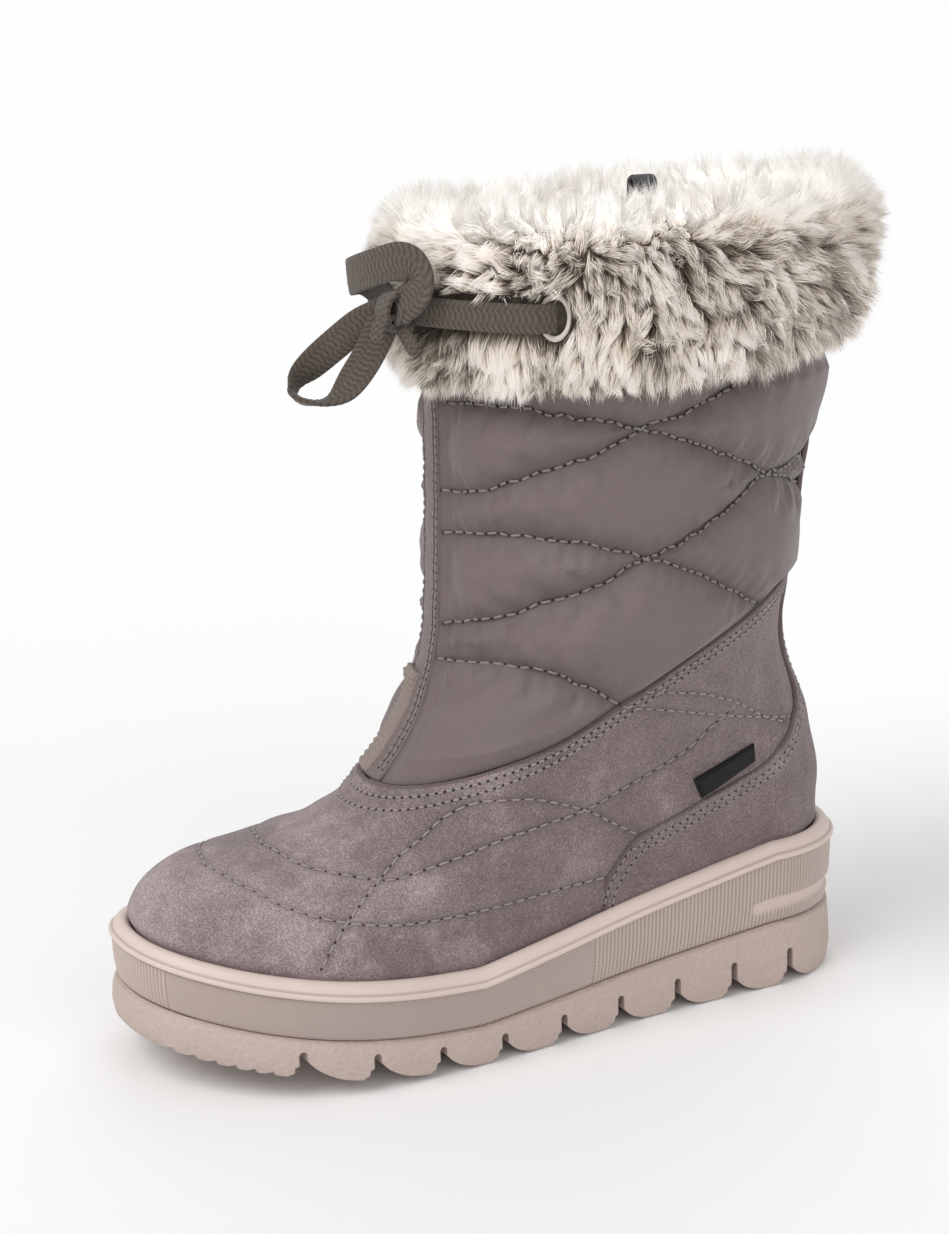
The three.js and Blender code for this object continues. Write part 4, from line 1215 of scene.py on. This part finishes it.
suede_rows = [stitch_row(run, foot_tree, 4.2, 0.68) for run in suede_runs]
edge_turns = np.linspace(0, 1, 500)
for drop in (2.4, 5.0):
    edge_run = bare_last(suede_edge_level(edge_turns, -drop), edge_turns)
    suede_rows.append(stitch_row(edge_run, foot_tree, 2.6, 0.6))
sewn("suede", suede_rows, 0.34, 0.5, suede_thread)

counter_rows = []
front_edge = edge_line[edge_line[:, 1] < 116]
for inside in (2.4, 4.6):
    for run in side_view_run(edge_offset(front_edge[2:], inside)):
        counter_rows.append(stitch_row(run, counter_tree, 2.7, 0.6))
stay_run_heights = np.arange(122, STAY_TOP - 3, 2.0)
stay_outer_edge = stay_turn(stay_run_heights, STAY_HALF - 2.6)
for stay_edge in (stay_outer_edge, 1 - stay_outer_edge):
    stay_level = level_at(stay_run_heights, stay_edge)
    counter_rows.append(stitch_row(bare_last(stay_level, stay_edge), counter_tree, 3.0, 0.62))
sewn("counter", counter_rows, 0.25, 0.44, suede_thread)

# ---- fur cuff ----
# Deep-pile imitation fur on a knitted backing, rolled over the top of the shaft. The hairs are charcoal and
# olive at their roots and cream at their tips, and they lie in tufts that part to show the darker roots.
CUFF_FOOT = (199, 209)
CUFF_TOP = (246, 251)
CUFF_OUT = [2.1, 6.5, 10.5, 12.5, 12.5, 10, 4.5, -2.5, -7, -9, -9]
CUFF_FROM_FOOT = [1, 1, 1, 1, 0, 0, 0, 0, 0, 0, 0]
CUFF_FROM_TOP = [0, 0, 0, 0, 1, 1, 1, 1, 1, 1, 0]
CUFF_RAISED = [0, -1, 5, 15, -15, -5, 0, -1, -6, -13, 229]
# the collar slopes a little, down towards the inner side: each row's share of the slope, and its height
CUFF_SLOPED = [0, 0, 0, 0.2, 0.8, 1, 1, 1, 0.8, 0.4, 0]
CUFF_SLOPE = 3.6
BACKING_DEPTH = 4.6
BACKING_ROWS = 46
BACKING_COLUMNS = 160
LACE_HEIGHT = 221
LACE_REACH = 15
EYELET_Y = -78
LEG_FRONT_Y = -99
LEG_BACK_Y = 30
leg_levels = np.linspace(10, TOP_LEVEL, 500)
leg_heights = column(LAST["front_z"], leg_levels)


def leg_at(z, turn, out):
    point = on_last(np.interp(z, leg_heights, leg_levels), turn, out)
    point[..., 2] = z
    return point


def cuff_form(along, turn):
    """The cuff's surface; along counts its section rows from the foot, up the outside and over the rim."""
    share = (1 - np.cos(2 * np.pi * turn)) / 2
    z = column(CUFF_FROM_FOOT, along) * mix(*CUFF_FOOT, share)
    z = z + column(CUFF_FROM_TOP, along) * mix(*CUFF_TOP, share)
    slope = CUFF_SLOPE * column(CUFF_SLOPED, along) * np.sin(2 * np.pi * turn)
    return leg_at(z + column(CUFF_RAISED, along) + slope, turn, column(CUFF_OUT, along))


def cuff_directions(along, turn):
    """Out of the cuff, and down its outside."""
    up = cuff_form(np.minimum(along + 0.04, 10), turn) - cuff_form(np.maximum(along - 0.04, 0), turn)
    round_it = cuff_form(along, turn + 0.003) - cuff_form(along, turn - 0.003)
    return unit(np.cross(round_it, up)), -unit(up)


def fur_skin():
    """The dark knitted backing under the pile."""
    finish = Finish("fur_backing", 0.95)
    knit = finish.noise(600, 3)
    finish.bump((knit, 0.4))
    return finish.colour(finish.blend(knit, shade(70, 63, 57), shade(118, 108, 98)))


backing_along, backing_turn = np.meshgrid(np.linspace(0, 10, BACKING_ROWS),
                                          np.arange(BACKING_COLUMNS) / BACKING_COLUMNS, indexing="ij")
backing_out, _ = cuff_directions(backing_along, backing_turn)
backing_sink = np.minimum(BACKING_DEPTH, 0.4 + 5 * np.minimum(backing_along, 10 - backing_along))
backing_form = cuff_form(backing_along, backing_turn) - backing_out * backing_sink[..., None]
backing = make_piece("fur_backing", backing_form, ring_faces(BACKING_ROWS, BACKING_COLUMNS), fur_skin())

hair_seed = np.random.default_rng(11)
HAIR_COUNT = 255000
BENT_SHARE = 0.34
TUFT_COUNT = 4200
cell_along = (np.arange(120) + 0.5) / 12
cell_turn = (np.arange(400) + 0.5) / 400
cell_a, cell_t = np.meshgrid(cell_along, cell_turn, indexing="ij")
cell_size = np.linalg.norm(cuff_form(np.minimum(cell_a + 1 / 24, 10), cell_t)
                           - cuff_form(np.maximum(cell_a - 1 / 24, 0), cell_t), axis=-1)
cell_weight = cell_size * np.where(cell_a > 8.2, 0.55, 1.0)
cell_share = np.cumsum(cell_weight.ravel())
cell_share = cell_share / cell_share[-1]


def scatter(count):
    """Places spread evenly over the cuff."""
    cell = np.searchsorted(cell_share, hair_seed.random(count))
    along = cell_a.ravel()[cell] + (hair_seed.random(count) - 0.5) / 12
    turn = cell_t.ravel()[cell] + (hair_seed.random(count) - 0.5) / 400
    return np.clip(along, 0.02, 9.98), turn % 1


hair_along, hair_turn = scatter(HAIR_COUNT)
tuft_along, tuft_turn = scatter(TUFT_COUNT)
tuft_tree = point_tree(cuff_form(tuft_along, tuft_turn))

surface = cuff_form(hair_along, hair_turn)
out, down = cuff_directions(hair_along, hair_turn)
sink = np.minimum(BACKING_DEPTH - 0.2, 0.3 + 5 * np.minimum(hair_along, 10 - hair_along))
root = surface - out * sink[:, None]
tuft = np.array([tuft_tree.find(place)[1] for place in surface])

on_face = np.clip((4.6 - hair_along) / 1.4, 0, 1)
on_inside = np.clip((hair_along - 7) / 1.5, 0, 1)
lie = (0.75 * on_face - 0.35 * on_inside)[:, None] * down
sweep = hair_seed.normal(size=(TUFT_COUNT, 3)) * 0.42
wave = np.stack([smooth_noise(surface, 34, seed) for seed in (21, 22, 23)], -1)
comb = lie + sweep[tuft] + wave * 0.28 + hair_seed.normal(size=(HAIR_COUNT, 3)) * 0.16
length = (8.2 + 1.6 * hair_seed.normal(size=HAIR_COUNT)) * np.where(hair_along > 8, 0.75, 1.0)
length = np.clip(length, 4, 13) * (1 + 0.15 * smooth_noise(surface, 22, 5))
near_rim = np.clip(1 - np.abs(hair_along - 6.2) / 1.6, 0, 1)
length = length * (1 + 0.1 * near_rim)
comb = comb - out * np.sum(comb * out, -1, keepdims=True) * 0.8
heading = unit(out * 0.85 + comb)
start_heading = unit(out * 1.3 + comb * 0.4)
middle = root + start_heading * (length * 0.48)[:, None]
tip = middle + heading * (length * 0.55)[:, None]
tuft_middle = np.zeros((TUFT_COUNT, 3))
tuft_tip = np.zeros((TUFT_COUNT, 3))
hair_per_tuft = np.maximum(np.bincount(tuft, minlength=TUFT_COUNT), 1)[:, None]
for axis in range(3):
    tuft_middle[:, axis] = np.bincount(tuft, middle[:, axis], TUFT_COUNT)
    tuft_tip[:, axis] = np.bincount(tuft, tip[:, axis], TUFT_COUNT)
tuft_middle, tuft_tip = tuft_middle / hair_per_tuft, tuft_tip / hair_per_tuft
gather = (hair_seed.uniform(0.3, 0.75, HAIR_COUNT) * (1 - 0.6 * near_rim))[:, None]
middle = mix(middle, tuft_middle[tuft], gather * 0.35)
tip = mix(tip, tuft_tip[tuft], gather * 0.8)

# the lace presses the pile flat along its way, and the eyelets stand clear of it
bar_share = (EYELET_Y - LEG_FRONT_Y) / (LEG_BACK_Y - LEG_FRONT_Y)
bar_turn = np.arccos(1 - 2 * bar_share) / (2 * np.pi)
from_front = np.minimum(hair_turn, 1 - hair_turn)
above_lace = surface[:, 2] - LACE_HEIGHT
beside_lace = (from_front < bar_turn + 0.004) & (hair_along < 5)
pressed = beside_lace & (np.abs(above_lace) < 5.2)
for eyelet_place in leg_at(LACE_HEIGHT, np.array([bar_turn, 1 - bar_turn]), 12.5):
    pressed = pressed | (np.linalg.norm((surface - eyelet_place) * (1, 1, 0.8), axis=-1) < 6.2)
lean = np.sign(above_lace) * (LACE_REACH - np.abs(above_lace)) * 0.33
lean = np.where(beside_lace & (np.abs(above_lace) < LACE_REACH), lean, 0)
tip[:, 2] += np.where(pressed, 0, lean)
middle[:, 2] += np.where(pressed, 0, lean * 0.4)
kept = ~pressed

bent = hair_seed.random(HAIR_COUNT) < BENT_SHARE
spread = hair_seed.uniform(-0.9, 0.9, HAIR_COUNT)[:, None]
blade = unit(np.cross(heading + hair_seed.normal(size=(HAIR_COUNT, 3)) * 0.05, out))
blade = blade + out * spread * 0.5
HAIR_HALF = 0.125
corners = np.stack([root - blade * HAIR_HALF, root + blade * HAIR_HALF, middle + blade * HAIR_HALF * 0.95,
                    middle - blade * HAIR_HALF * 0.95, tip], 1)

cloud = smooth_noise(surface, 26, 31)
streak = smooth_noise(surface * (1, 1, 0.5), 9, 32)
tuft_shade = hair_seed.normal(size=TUFT_COUNT) * 0.12
# on the rim the hairs are paler, roots and all: partly their own cream colour, partly painted light on the
# lit top of the cuff, in place of the shade between the hairs
rim_share = np.clip((hair_along - 4.2) / 1.2, 0, 1)
dark_hair = hair_seed.random(HAIR_COUNT) < (0.23 + 0.28 * np.clip(cloud, -1, 1)) * (1 - rim_share)
whiteness = 0.02 - 0.12 * cloud + 0.1 * streak + tuft_shade[tuft] + 0.08 * hair_seed.normal(size=HAIR_COUNT)
whiteness = whiteness * (1 - 0.7 * rim_share) + 0.55 * rim_share - 0.42 * dark_hair
root_tone = 0.16 + 0.74 * rim_share
hair_tone = np.stack([root_tone, root_tone, 0.48 + whiteness, 0.48 + whiteness, 0.88 + whiteness], 1)
lit_normal = unit(out * 0.9 + (tip - tuft_middle[tuft]) * 0.09)
# a small painted glow: the pile emits light, in place of the light that a pale pile scatters from hair to
# hair
PILE_GLOW = 0.26


def pile():
    """Fur fibre: charcoal root, olive-grey middle and cream tip, with a low gloss and a small painted glow.
    """
    finish = Finish("fur_pile", 0.72, Specular_IOR_Level=0.25, Sheen_Weight=0.15)
    tone = finish.tone()
    cloud_tone = finish.noise(45, 3)
    cool = finish.ramp(tone,
                       [(0.0, shade(80, 71, 65)), (0.25, shade(134, 122, 113)), (0.5, shade(230, 217, 206)),
                              (0.75, shade(255, 246, 239)), (1.0, shade(255, 253, 250))])
    warm = finish.ramp(tone,
                       [(0.0, shade(84, 74, 60)), (0.25, shade(150, 135, 114)), (0.5, shade(240, 225, 206)),
                              (0.75, shade(255, 245, 231)), (1.0, shade(255, 251, 245))])
    fibre = finish.blend(cloud_tone, cool, warm)
    finish.plug(finish.blend(tone, (0.0, 0.0, 0.0), fibre), finish.shader.inputs["Emission Color"])
    finish.shader.inputs["Emission Strength"].default_value = PILE_GLOW
    return finish.colour(fibre)


pile_material = pile()


def hair_piece(name, chosen, is_bent):
    """Bent hairs are a four-sided blade with a pointed tip; straight ones are a single long point."""
    chosen = chosen & kept & (bent == is_bent)
    corner_choice = [0, 1, 2, 3, 4] if is_bent else [0, 1, 4]
    sides = [(0, 1, 2, 3), (3, 2, 4)] if is_bent else [(0, 1, 2)]
    each = len(corner_choice)
    count = int(chosen.sum())
    starts = np.arange(count)[:, None] * each
    loops = sum(len(side) for side in sides)
    mesh = bpy.data.meshes.new(name)
    mesh.vertices.add(count * each)
    points = corners[chosen][:, corner_choice]
    mesh.vertices.foreach_set("co", (points * MM).astype(np.float32).ravel())
    mesh.loops.add(count * loops)
    mesh.loops.foreach_set("vertex_index", (starts + np.concatenate(sides)).astype(np.int32).ravel())
    mesh.polygons.add(count * len(sides))
    side_starts = np.cumsum([0] + [len(side) for side in sides[:-1]])
    loop_starts = np.arange(count)[:, None] * loops + side_starts
    mesh.polygons.foreach_set("loop_start", loop_starts.astype(np.int32).ravel())
    mesh.update(calc_edges=True)
    mesh.materials.append(pile_material)
    mesh.polygons.foreach_set("use_smooth", [True] * (count * len(sides)))
    mesh.normals_split_custom_set_from_vertices(np.repeat(lit_normal[chosen], each, axis=0))
    piece = add_object(name, mesh)
    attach(piece, "root")
    add_tone(piece, np.clip(hair_tone[chosen][:, corner_choice], 0, 1))
    return piece


on_rim = hair_along >= 4.5
fur_face_outer = hair_piece("fur_face_outer", ~on_rim & (hair_turn < 0.5), True)
hair_piece("fur_face_inner", ~on_rim & (hair_turn >= 0.5), True)
hair_piece("fur_rim", on_rim, True)
hair_piece("fine_fur_face", ~on_rim, False)
hair_piece("fine_fur_rim", on_rim, False)
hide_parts("fur_cuff")

# ---- pull loop ----
# A short length of dark mesh-woven webbing, folded into a hood and sewn inside the collar, to pull the boot
# on by.
LOOP_PLACE = (-32.2, -9)
LOOP_WIDTH = 8
LOOP_SPAN = 6
LOOP_THICK = 1.6
LOOP_FOOT = 236
LOOP_TOP = 249.5


def pull_loop_line(inset):
    bend = LOOP_SPAN / 2 - inset
    arch = np.linspace(math.pi, 0, 15)
    high = LOOP_TOP - LOOP_SPAN / 2
    legs = np.linspace(LOOP_FOOT, high, 9)[:-1]
    over = [(bend * math.cos(a), high + bend * math.sin(a)) for a in arch]
    return np.array([(-bend, z) for z in legs] + over + [(bend, z) for z in legs[::-1]])


loop_across = np.linspace(-1, 1, 13)
loop_line = pull_loop_line(LOOP_THICK / 2)
loop_ahead = unit(np.gradient(loop_line, axis=0))
loop_form = np.stack(np.broadcast_arrays(LOOP_PLACE[0] + loop_line[:, :1],
                                         LOOP_PLACE[1] + loop_across * LOOP_WIDTH / 2 * 0.97,
                                         loop_line[:, 1:]), -1)
loop_out = np.stack([-loop_ahead[:, 1], np.zeros(len(loop_line)), loop_ahead[:, 0]], -1)
loop_out = np.broadcast_to(loop_out[:, None], loop_form.shape)
loop_ribs = 0.12 * np.sin(loop_across * 14)
loop_top = LOOP_THICK / 2 - 0.3 + 0.22 * rolled_edge((1 - np.abs(loop_across)) * 4, 0.8) + loop_ribs * 0.5
loop_top = np.broadcast_to(loop_top, loop_form.shape[:2])
loop_uv = np.stack(np.broadcast_arrays(loop_across * 4, np.arange(len(loop_line))[:, None]), -1)
webbing = woven_ribbon("mesh_webbing", shade(48, 47, 50), shade(104, 104, 108), 420)
pull_loop = slab("webbing_pull_loop", loop_form, loop_out, loop_top, -LOOP_THICK / 2 + 0.15, webbing,
                 loop_uv)
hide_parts("pull_loop")

# ---- eyelets ----
# Pressed metal rings with a cream enamel finish, one on each side, clenched through the cuff's backing.
EYELET_HALF = (4.0, 6.0)
EYELET_TUBE = 0.6
EYELET_OUT = 10.3


def enamel():
    """Cream enamel on metal, smooth, with faint rubbing."""
    finish = Finish("cream_enamel", 0.3, Coat_Weight=0.3, Coat_Roughness=0.2)
    rubbed = finish.noise(300, 4)
    finish.vary_roughness(rubbed, 0.34, 0.5)
    return finish.colour(finish.blend(rubbed, shade(206, 193, 187), shade(232, 222, 216)))


def lace_frame(turn, out):
    """A place on the cuff at the lace's height, with the directions round the cuff and out of it."""
    here = leg_at(LACE_HEIGHT, turn, out)
    level = np.interp(LACE_HEIGHT, leg_heights, leg_levels)
    outward = unit(last_normal(level, turn) * (1, 1, 0))
    return here, np.cross((0, 0, 1), outward), outward


enamel_finish = enamel()
ring_angle = round_angles(72)
tube_angle = round_angles(16)
for name, turn in (("outer", bar_turn), ("inner", 1 - bar_turn)):
    here, along, outward = lace_frame(np.array([turn]), np.array([EYELET_OUT]))
    reach = 1 + EYELET_TUBE / 4 * np.cos(tube_angle)
    ring = (here + (EYELET_HALF[0] * np.cos(ring_angle))[:, None, None] * reach[:, None] * along
            + (EYELET_HALF[1] * np.sin(ring_angle))[:, None, None] * reach[:, None] * (0, 0, 1)
            + EYELET_TUBE * np.sin(tube_angle)[:, None] * outward)
    eyelet = make_piece("eyelet_ring_" + name, ring, ring_faces(72, 16), enamel_finish)
    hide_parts("eyelet_" + name)

# ---- lace ----
# A flat cotton braid, 8.4 mm wide, woven in lengthwise rows of chevrons. It comes out of an eyelet on each
# side, lies along the fur to the front, and is tied there in a bow with two loops and two short ends.
LACE_WIDTH = 8.4
LACE_THICK = 2.0
LACE_SECTION = 34
KNOT = (11, -116.2, 220.5)


def lace_cotton():
    """Brown cotton braid: dull, with painted shade in the hollows between the yarns and a little fluff."""
    finish = Finish("lace_cotton", 0.88, Sheen_Weight=0.25, Specular_IOR_Level=0.15)
    fluff = finish.noise(1400, 3, 0.7)
    cotton = finish.blend(fluff, shade(78, 69, 62), shade(122, 111, 101))
    finish.bump((fluff, 0.16))
    # the mesh's tone darkens the hollows between the yarns: painted shade
    return finish.colour(finish.blend(finish.tone(), shade(46, 40, 36), cotton))


cotton = lace_cotton()


def braid(name, line, across, widths=LACE_WIDTH, closed=False):
    """A flat braid swept along a line, with chevrons raised on both faces."""
    ahead = np.gradient(line, axis=0)
    if closed:
        ahead = np.roll(line, -1, axis=0) - np.roll(line, 1, axis=0)
    ahead = unit(ahead)
    across = np.broadcast_to(across, line.shape)
    across = unit(across - ahead * np.sum(across * ahead, -1, keepdims=True))
    face = np.cross(ahead, across)
    distance = distance_along(line)
    angle = round_angles(LACE_SECTION)
    wide = np.sign(np.cos(angle)) * np.abs(np.cos(angle)) ** 0.75
    thick = np.sign(np.sin(angle)) * np.abs(np.sin(angle)) ** 0.45
    slant = np.abs((wide * 2) % 2 - 1)
    weave = np.abs((distance[:, None] / 1.75 + slant * 0.9) % 1 - 0.5) * 2
    hollow = np.exp(-((np.abs((wide * 2 + 0.5) % 1 - 0.5)) / 0.12) ** 2) * 0.4
    height = np.clip(weave * 1.1, 0, 1) * (1 - hollow)
    thick = thick * (LACE_THICK / 2 - 0.32 * (1 - height))
    half_width = wide * np.broadcast_to(widths, len(line))[:, None] / 2
    points = line[:, None] + across[:, None] * half_width[..., None] + face[:, None] * thick[..., None]
    if closed:
        faces = ring_faces(len(line), LACE_SECTION).tolist()
    else:
        last = (len(line) - 1) * LACE_SECTION
        faces = grid_faces(len(line), LACE_SECTION, loop=True).tolist()
        faces += [list(range(LACE_SECTION)), list(range(last, last + LACE_SECTION))]
    piece = make_piece(name, points, faces, cotton)
    # painted shade: the lower points of the weave are darker
    add_tone(piece, np.clip(0.25 + 0.85 * height, 0, 1))
    return piece


BAR_SHARES = [0, 0.028, 0.065, 0.11, 0.25, 0.5, 0.75, 1]
BAR_RISES = [0.3, 1.6, 2.9, 3.8, 3.8, 3.8, 4.2, 5.6]
shares = column(BAR_SHARES, np.linspace(0, 7, 300))
rises = column(BAR_RISES, np.linspace(0, 7, 300))
for name, start, end in (("outer", bar_turn, 0.025), ("inner", 1 - bar_turn, 1.025)):
    here, _, _ = lace_frame(mix(start, end, shares), 9.4 + LACE_THICK / 2 + rises)
    to_knot = np.linalg.norm(here - KNOT, axis=-1)
    line = smooth_run(here[to_knot > 5.5][::6], 0.5)
    bar = braid("lace_bar_" + name + "_braid", line, (0, 0, 1))
    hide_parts("lace_bar_" + name)

wrap_angle = np.linspace(0, 2 * np.pi, 66, endpoint=False)
wrap_sine, wrap_cosine = np.sin(wrap_angle), np.cos(wrap_angle)
wrap_line = np.array(KNOT) + np.stack([0.9 * wrap_sine, 3.7 * wrap_cosine, 5.3 * wrap_sine], -1)
knot_wrap = braid("lace_knot_wrap", wrap_line, (1, 0, 0.12), closed=True)
core_angle = np.linspace(-1, 1, 44)
core_line = np.array(KNOT) + np.stack([7.2 * core_angle, 0 * core_angle, 0.4 * core_angle], -1)
core_width = 8.6 * np.sqrt(np.clip(1.08 - core_angle**2, 0, 1))
knot_core = braid("lace_knot_core", core_line, (0, 0.25, 1), core_width)
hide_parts("lace_knot")

UPPER_LOOP = [
    [10, -117, 222, -0.3, 0, 0.95], [3, -117, 225.2, -0.3, 0, 0.95], [-4, -116.6, 227, -0.25, 0, 0.95],
    [-9.5, -116.8, 228, -0.2, 0, 0.97], [-11, -118.6, 227.8, -0.2, 0, 0.97],
    [-8.5, -120.6, 228.2, -0.25, 0, 0.97],
    [-1, -121, 230.4, -0.3, 0, 0.97], [8, -119.6, 233.2, -0.3, 0, 0.98], [15.5, -116.8, 235.4, -0.15, 0, 1],
    [20.5, -114.6, 234.6, 0.4, 0.1, 0.8], [22.5, -113.4, 230.8, 0.9, 0.2, 0.2],
    [20.5, -114.2, 226.6, 0.8, 0.2, -0.5],
    [15, -116.5, 222, 0.5, 0, -0.8],
]
LOWER_LOOP = [
    [7, -118, 219.5, -0.49, -0.53, 0.7], [1.5, -122.5, 216, -0.49, -0.53, 0.7],
    [-3.5, -128, 210, -0.4, -0.6, 0.7],
    [-7.5, -133.5, 204, 0, -0.7, 0.7], [-9.8, -137.5, 199.3, 0.5, -0.6, 0.5],
    [-9, -139, 195.8, 0.8, -0.5, 0.3],
    [-4.8, -137.5, 194, 0.85, -0.45, 0.26], [-0.6, -133, 194.2, 0.85, -0.2, 0.1],
    [2.6, -128, 198, 0.8, 0.3, -0.2],
    [5.4, -123.6, 205, 0.6, 0.7, -0.4], [7.8, -120.6, 212, 0.52, 0.71, -0.45],
    [9, -118.6, 217.5, 0.52, 0.71, -0.4],
]
FRONT_END = [
    [12, -118.5, 219.5, 0.9, 0.4, 0], [13.2, -121.6, 218, 0.9, 0.4, 0], [13.8, -122.8, 215.5, 0.9, 0.4, 0],
    [13.8, -123, 212.5, 0.9, 0.4, 0],
]
BACK_END = [
    [13, -115.5, 217.5, 0.9, 0.3, 0.5], [16.5, -114.6, 213, 0.9, 0.3, 0.5],
    [19.5, -113.6, 209.5, 0.9, 0.3, 0.5],
]
ends = []
for name, route in (("front", FRONT_END), ("back", BACK_END)):
    run_points = smooth_run(route, 0.45)
    tapering = mix(LACE_WIDTH * 0.62, 4.6, np.linspace(0, 1, len(run_points)))
    tapering[-3:] = tapering[-3:] * (0.95, 0.8, 0.5)
    end = braid("lace_end_" + name + "_braid", run_points[:, :3], run_points[:, 3:], tapering)
    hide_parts("lace_end_" + name)
    ends.append(end)
for name, route, others in (("upper", UPPER_LOOP, [knot_wrap, knot_core]), ("lower", LOWER_LOOP, ends)):
    run_points = smooth_run(route, 0.45)
    line = run_points[:, :3]
    spread_width = LACE_WIDTH + (2.4 if name == "upper" else 0.8)
    loop = braid("lace_loop_" + name + "_braid", line, run_points[:, 3:], spread_width)
    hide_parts("lace_loop_" + name)
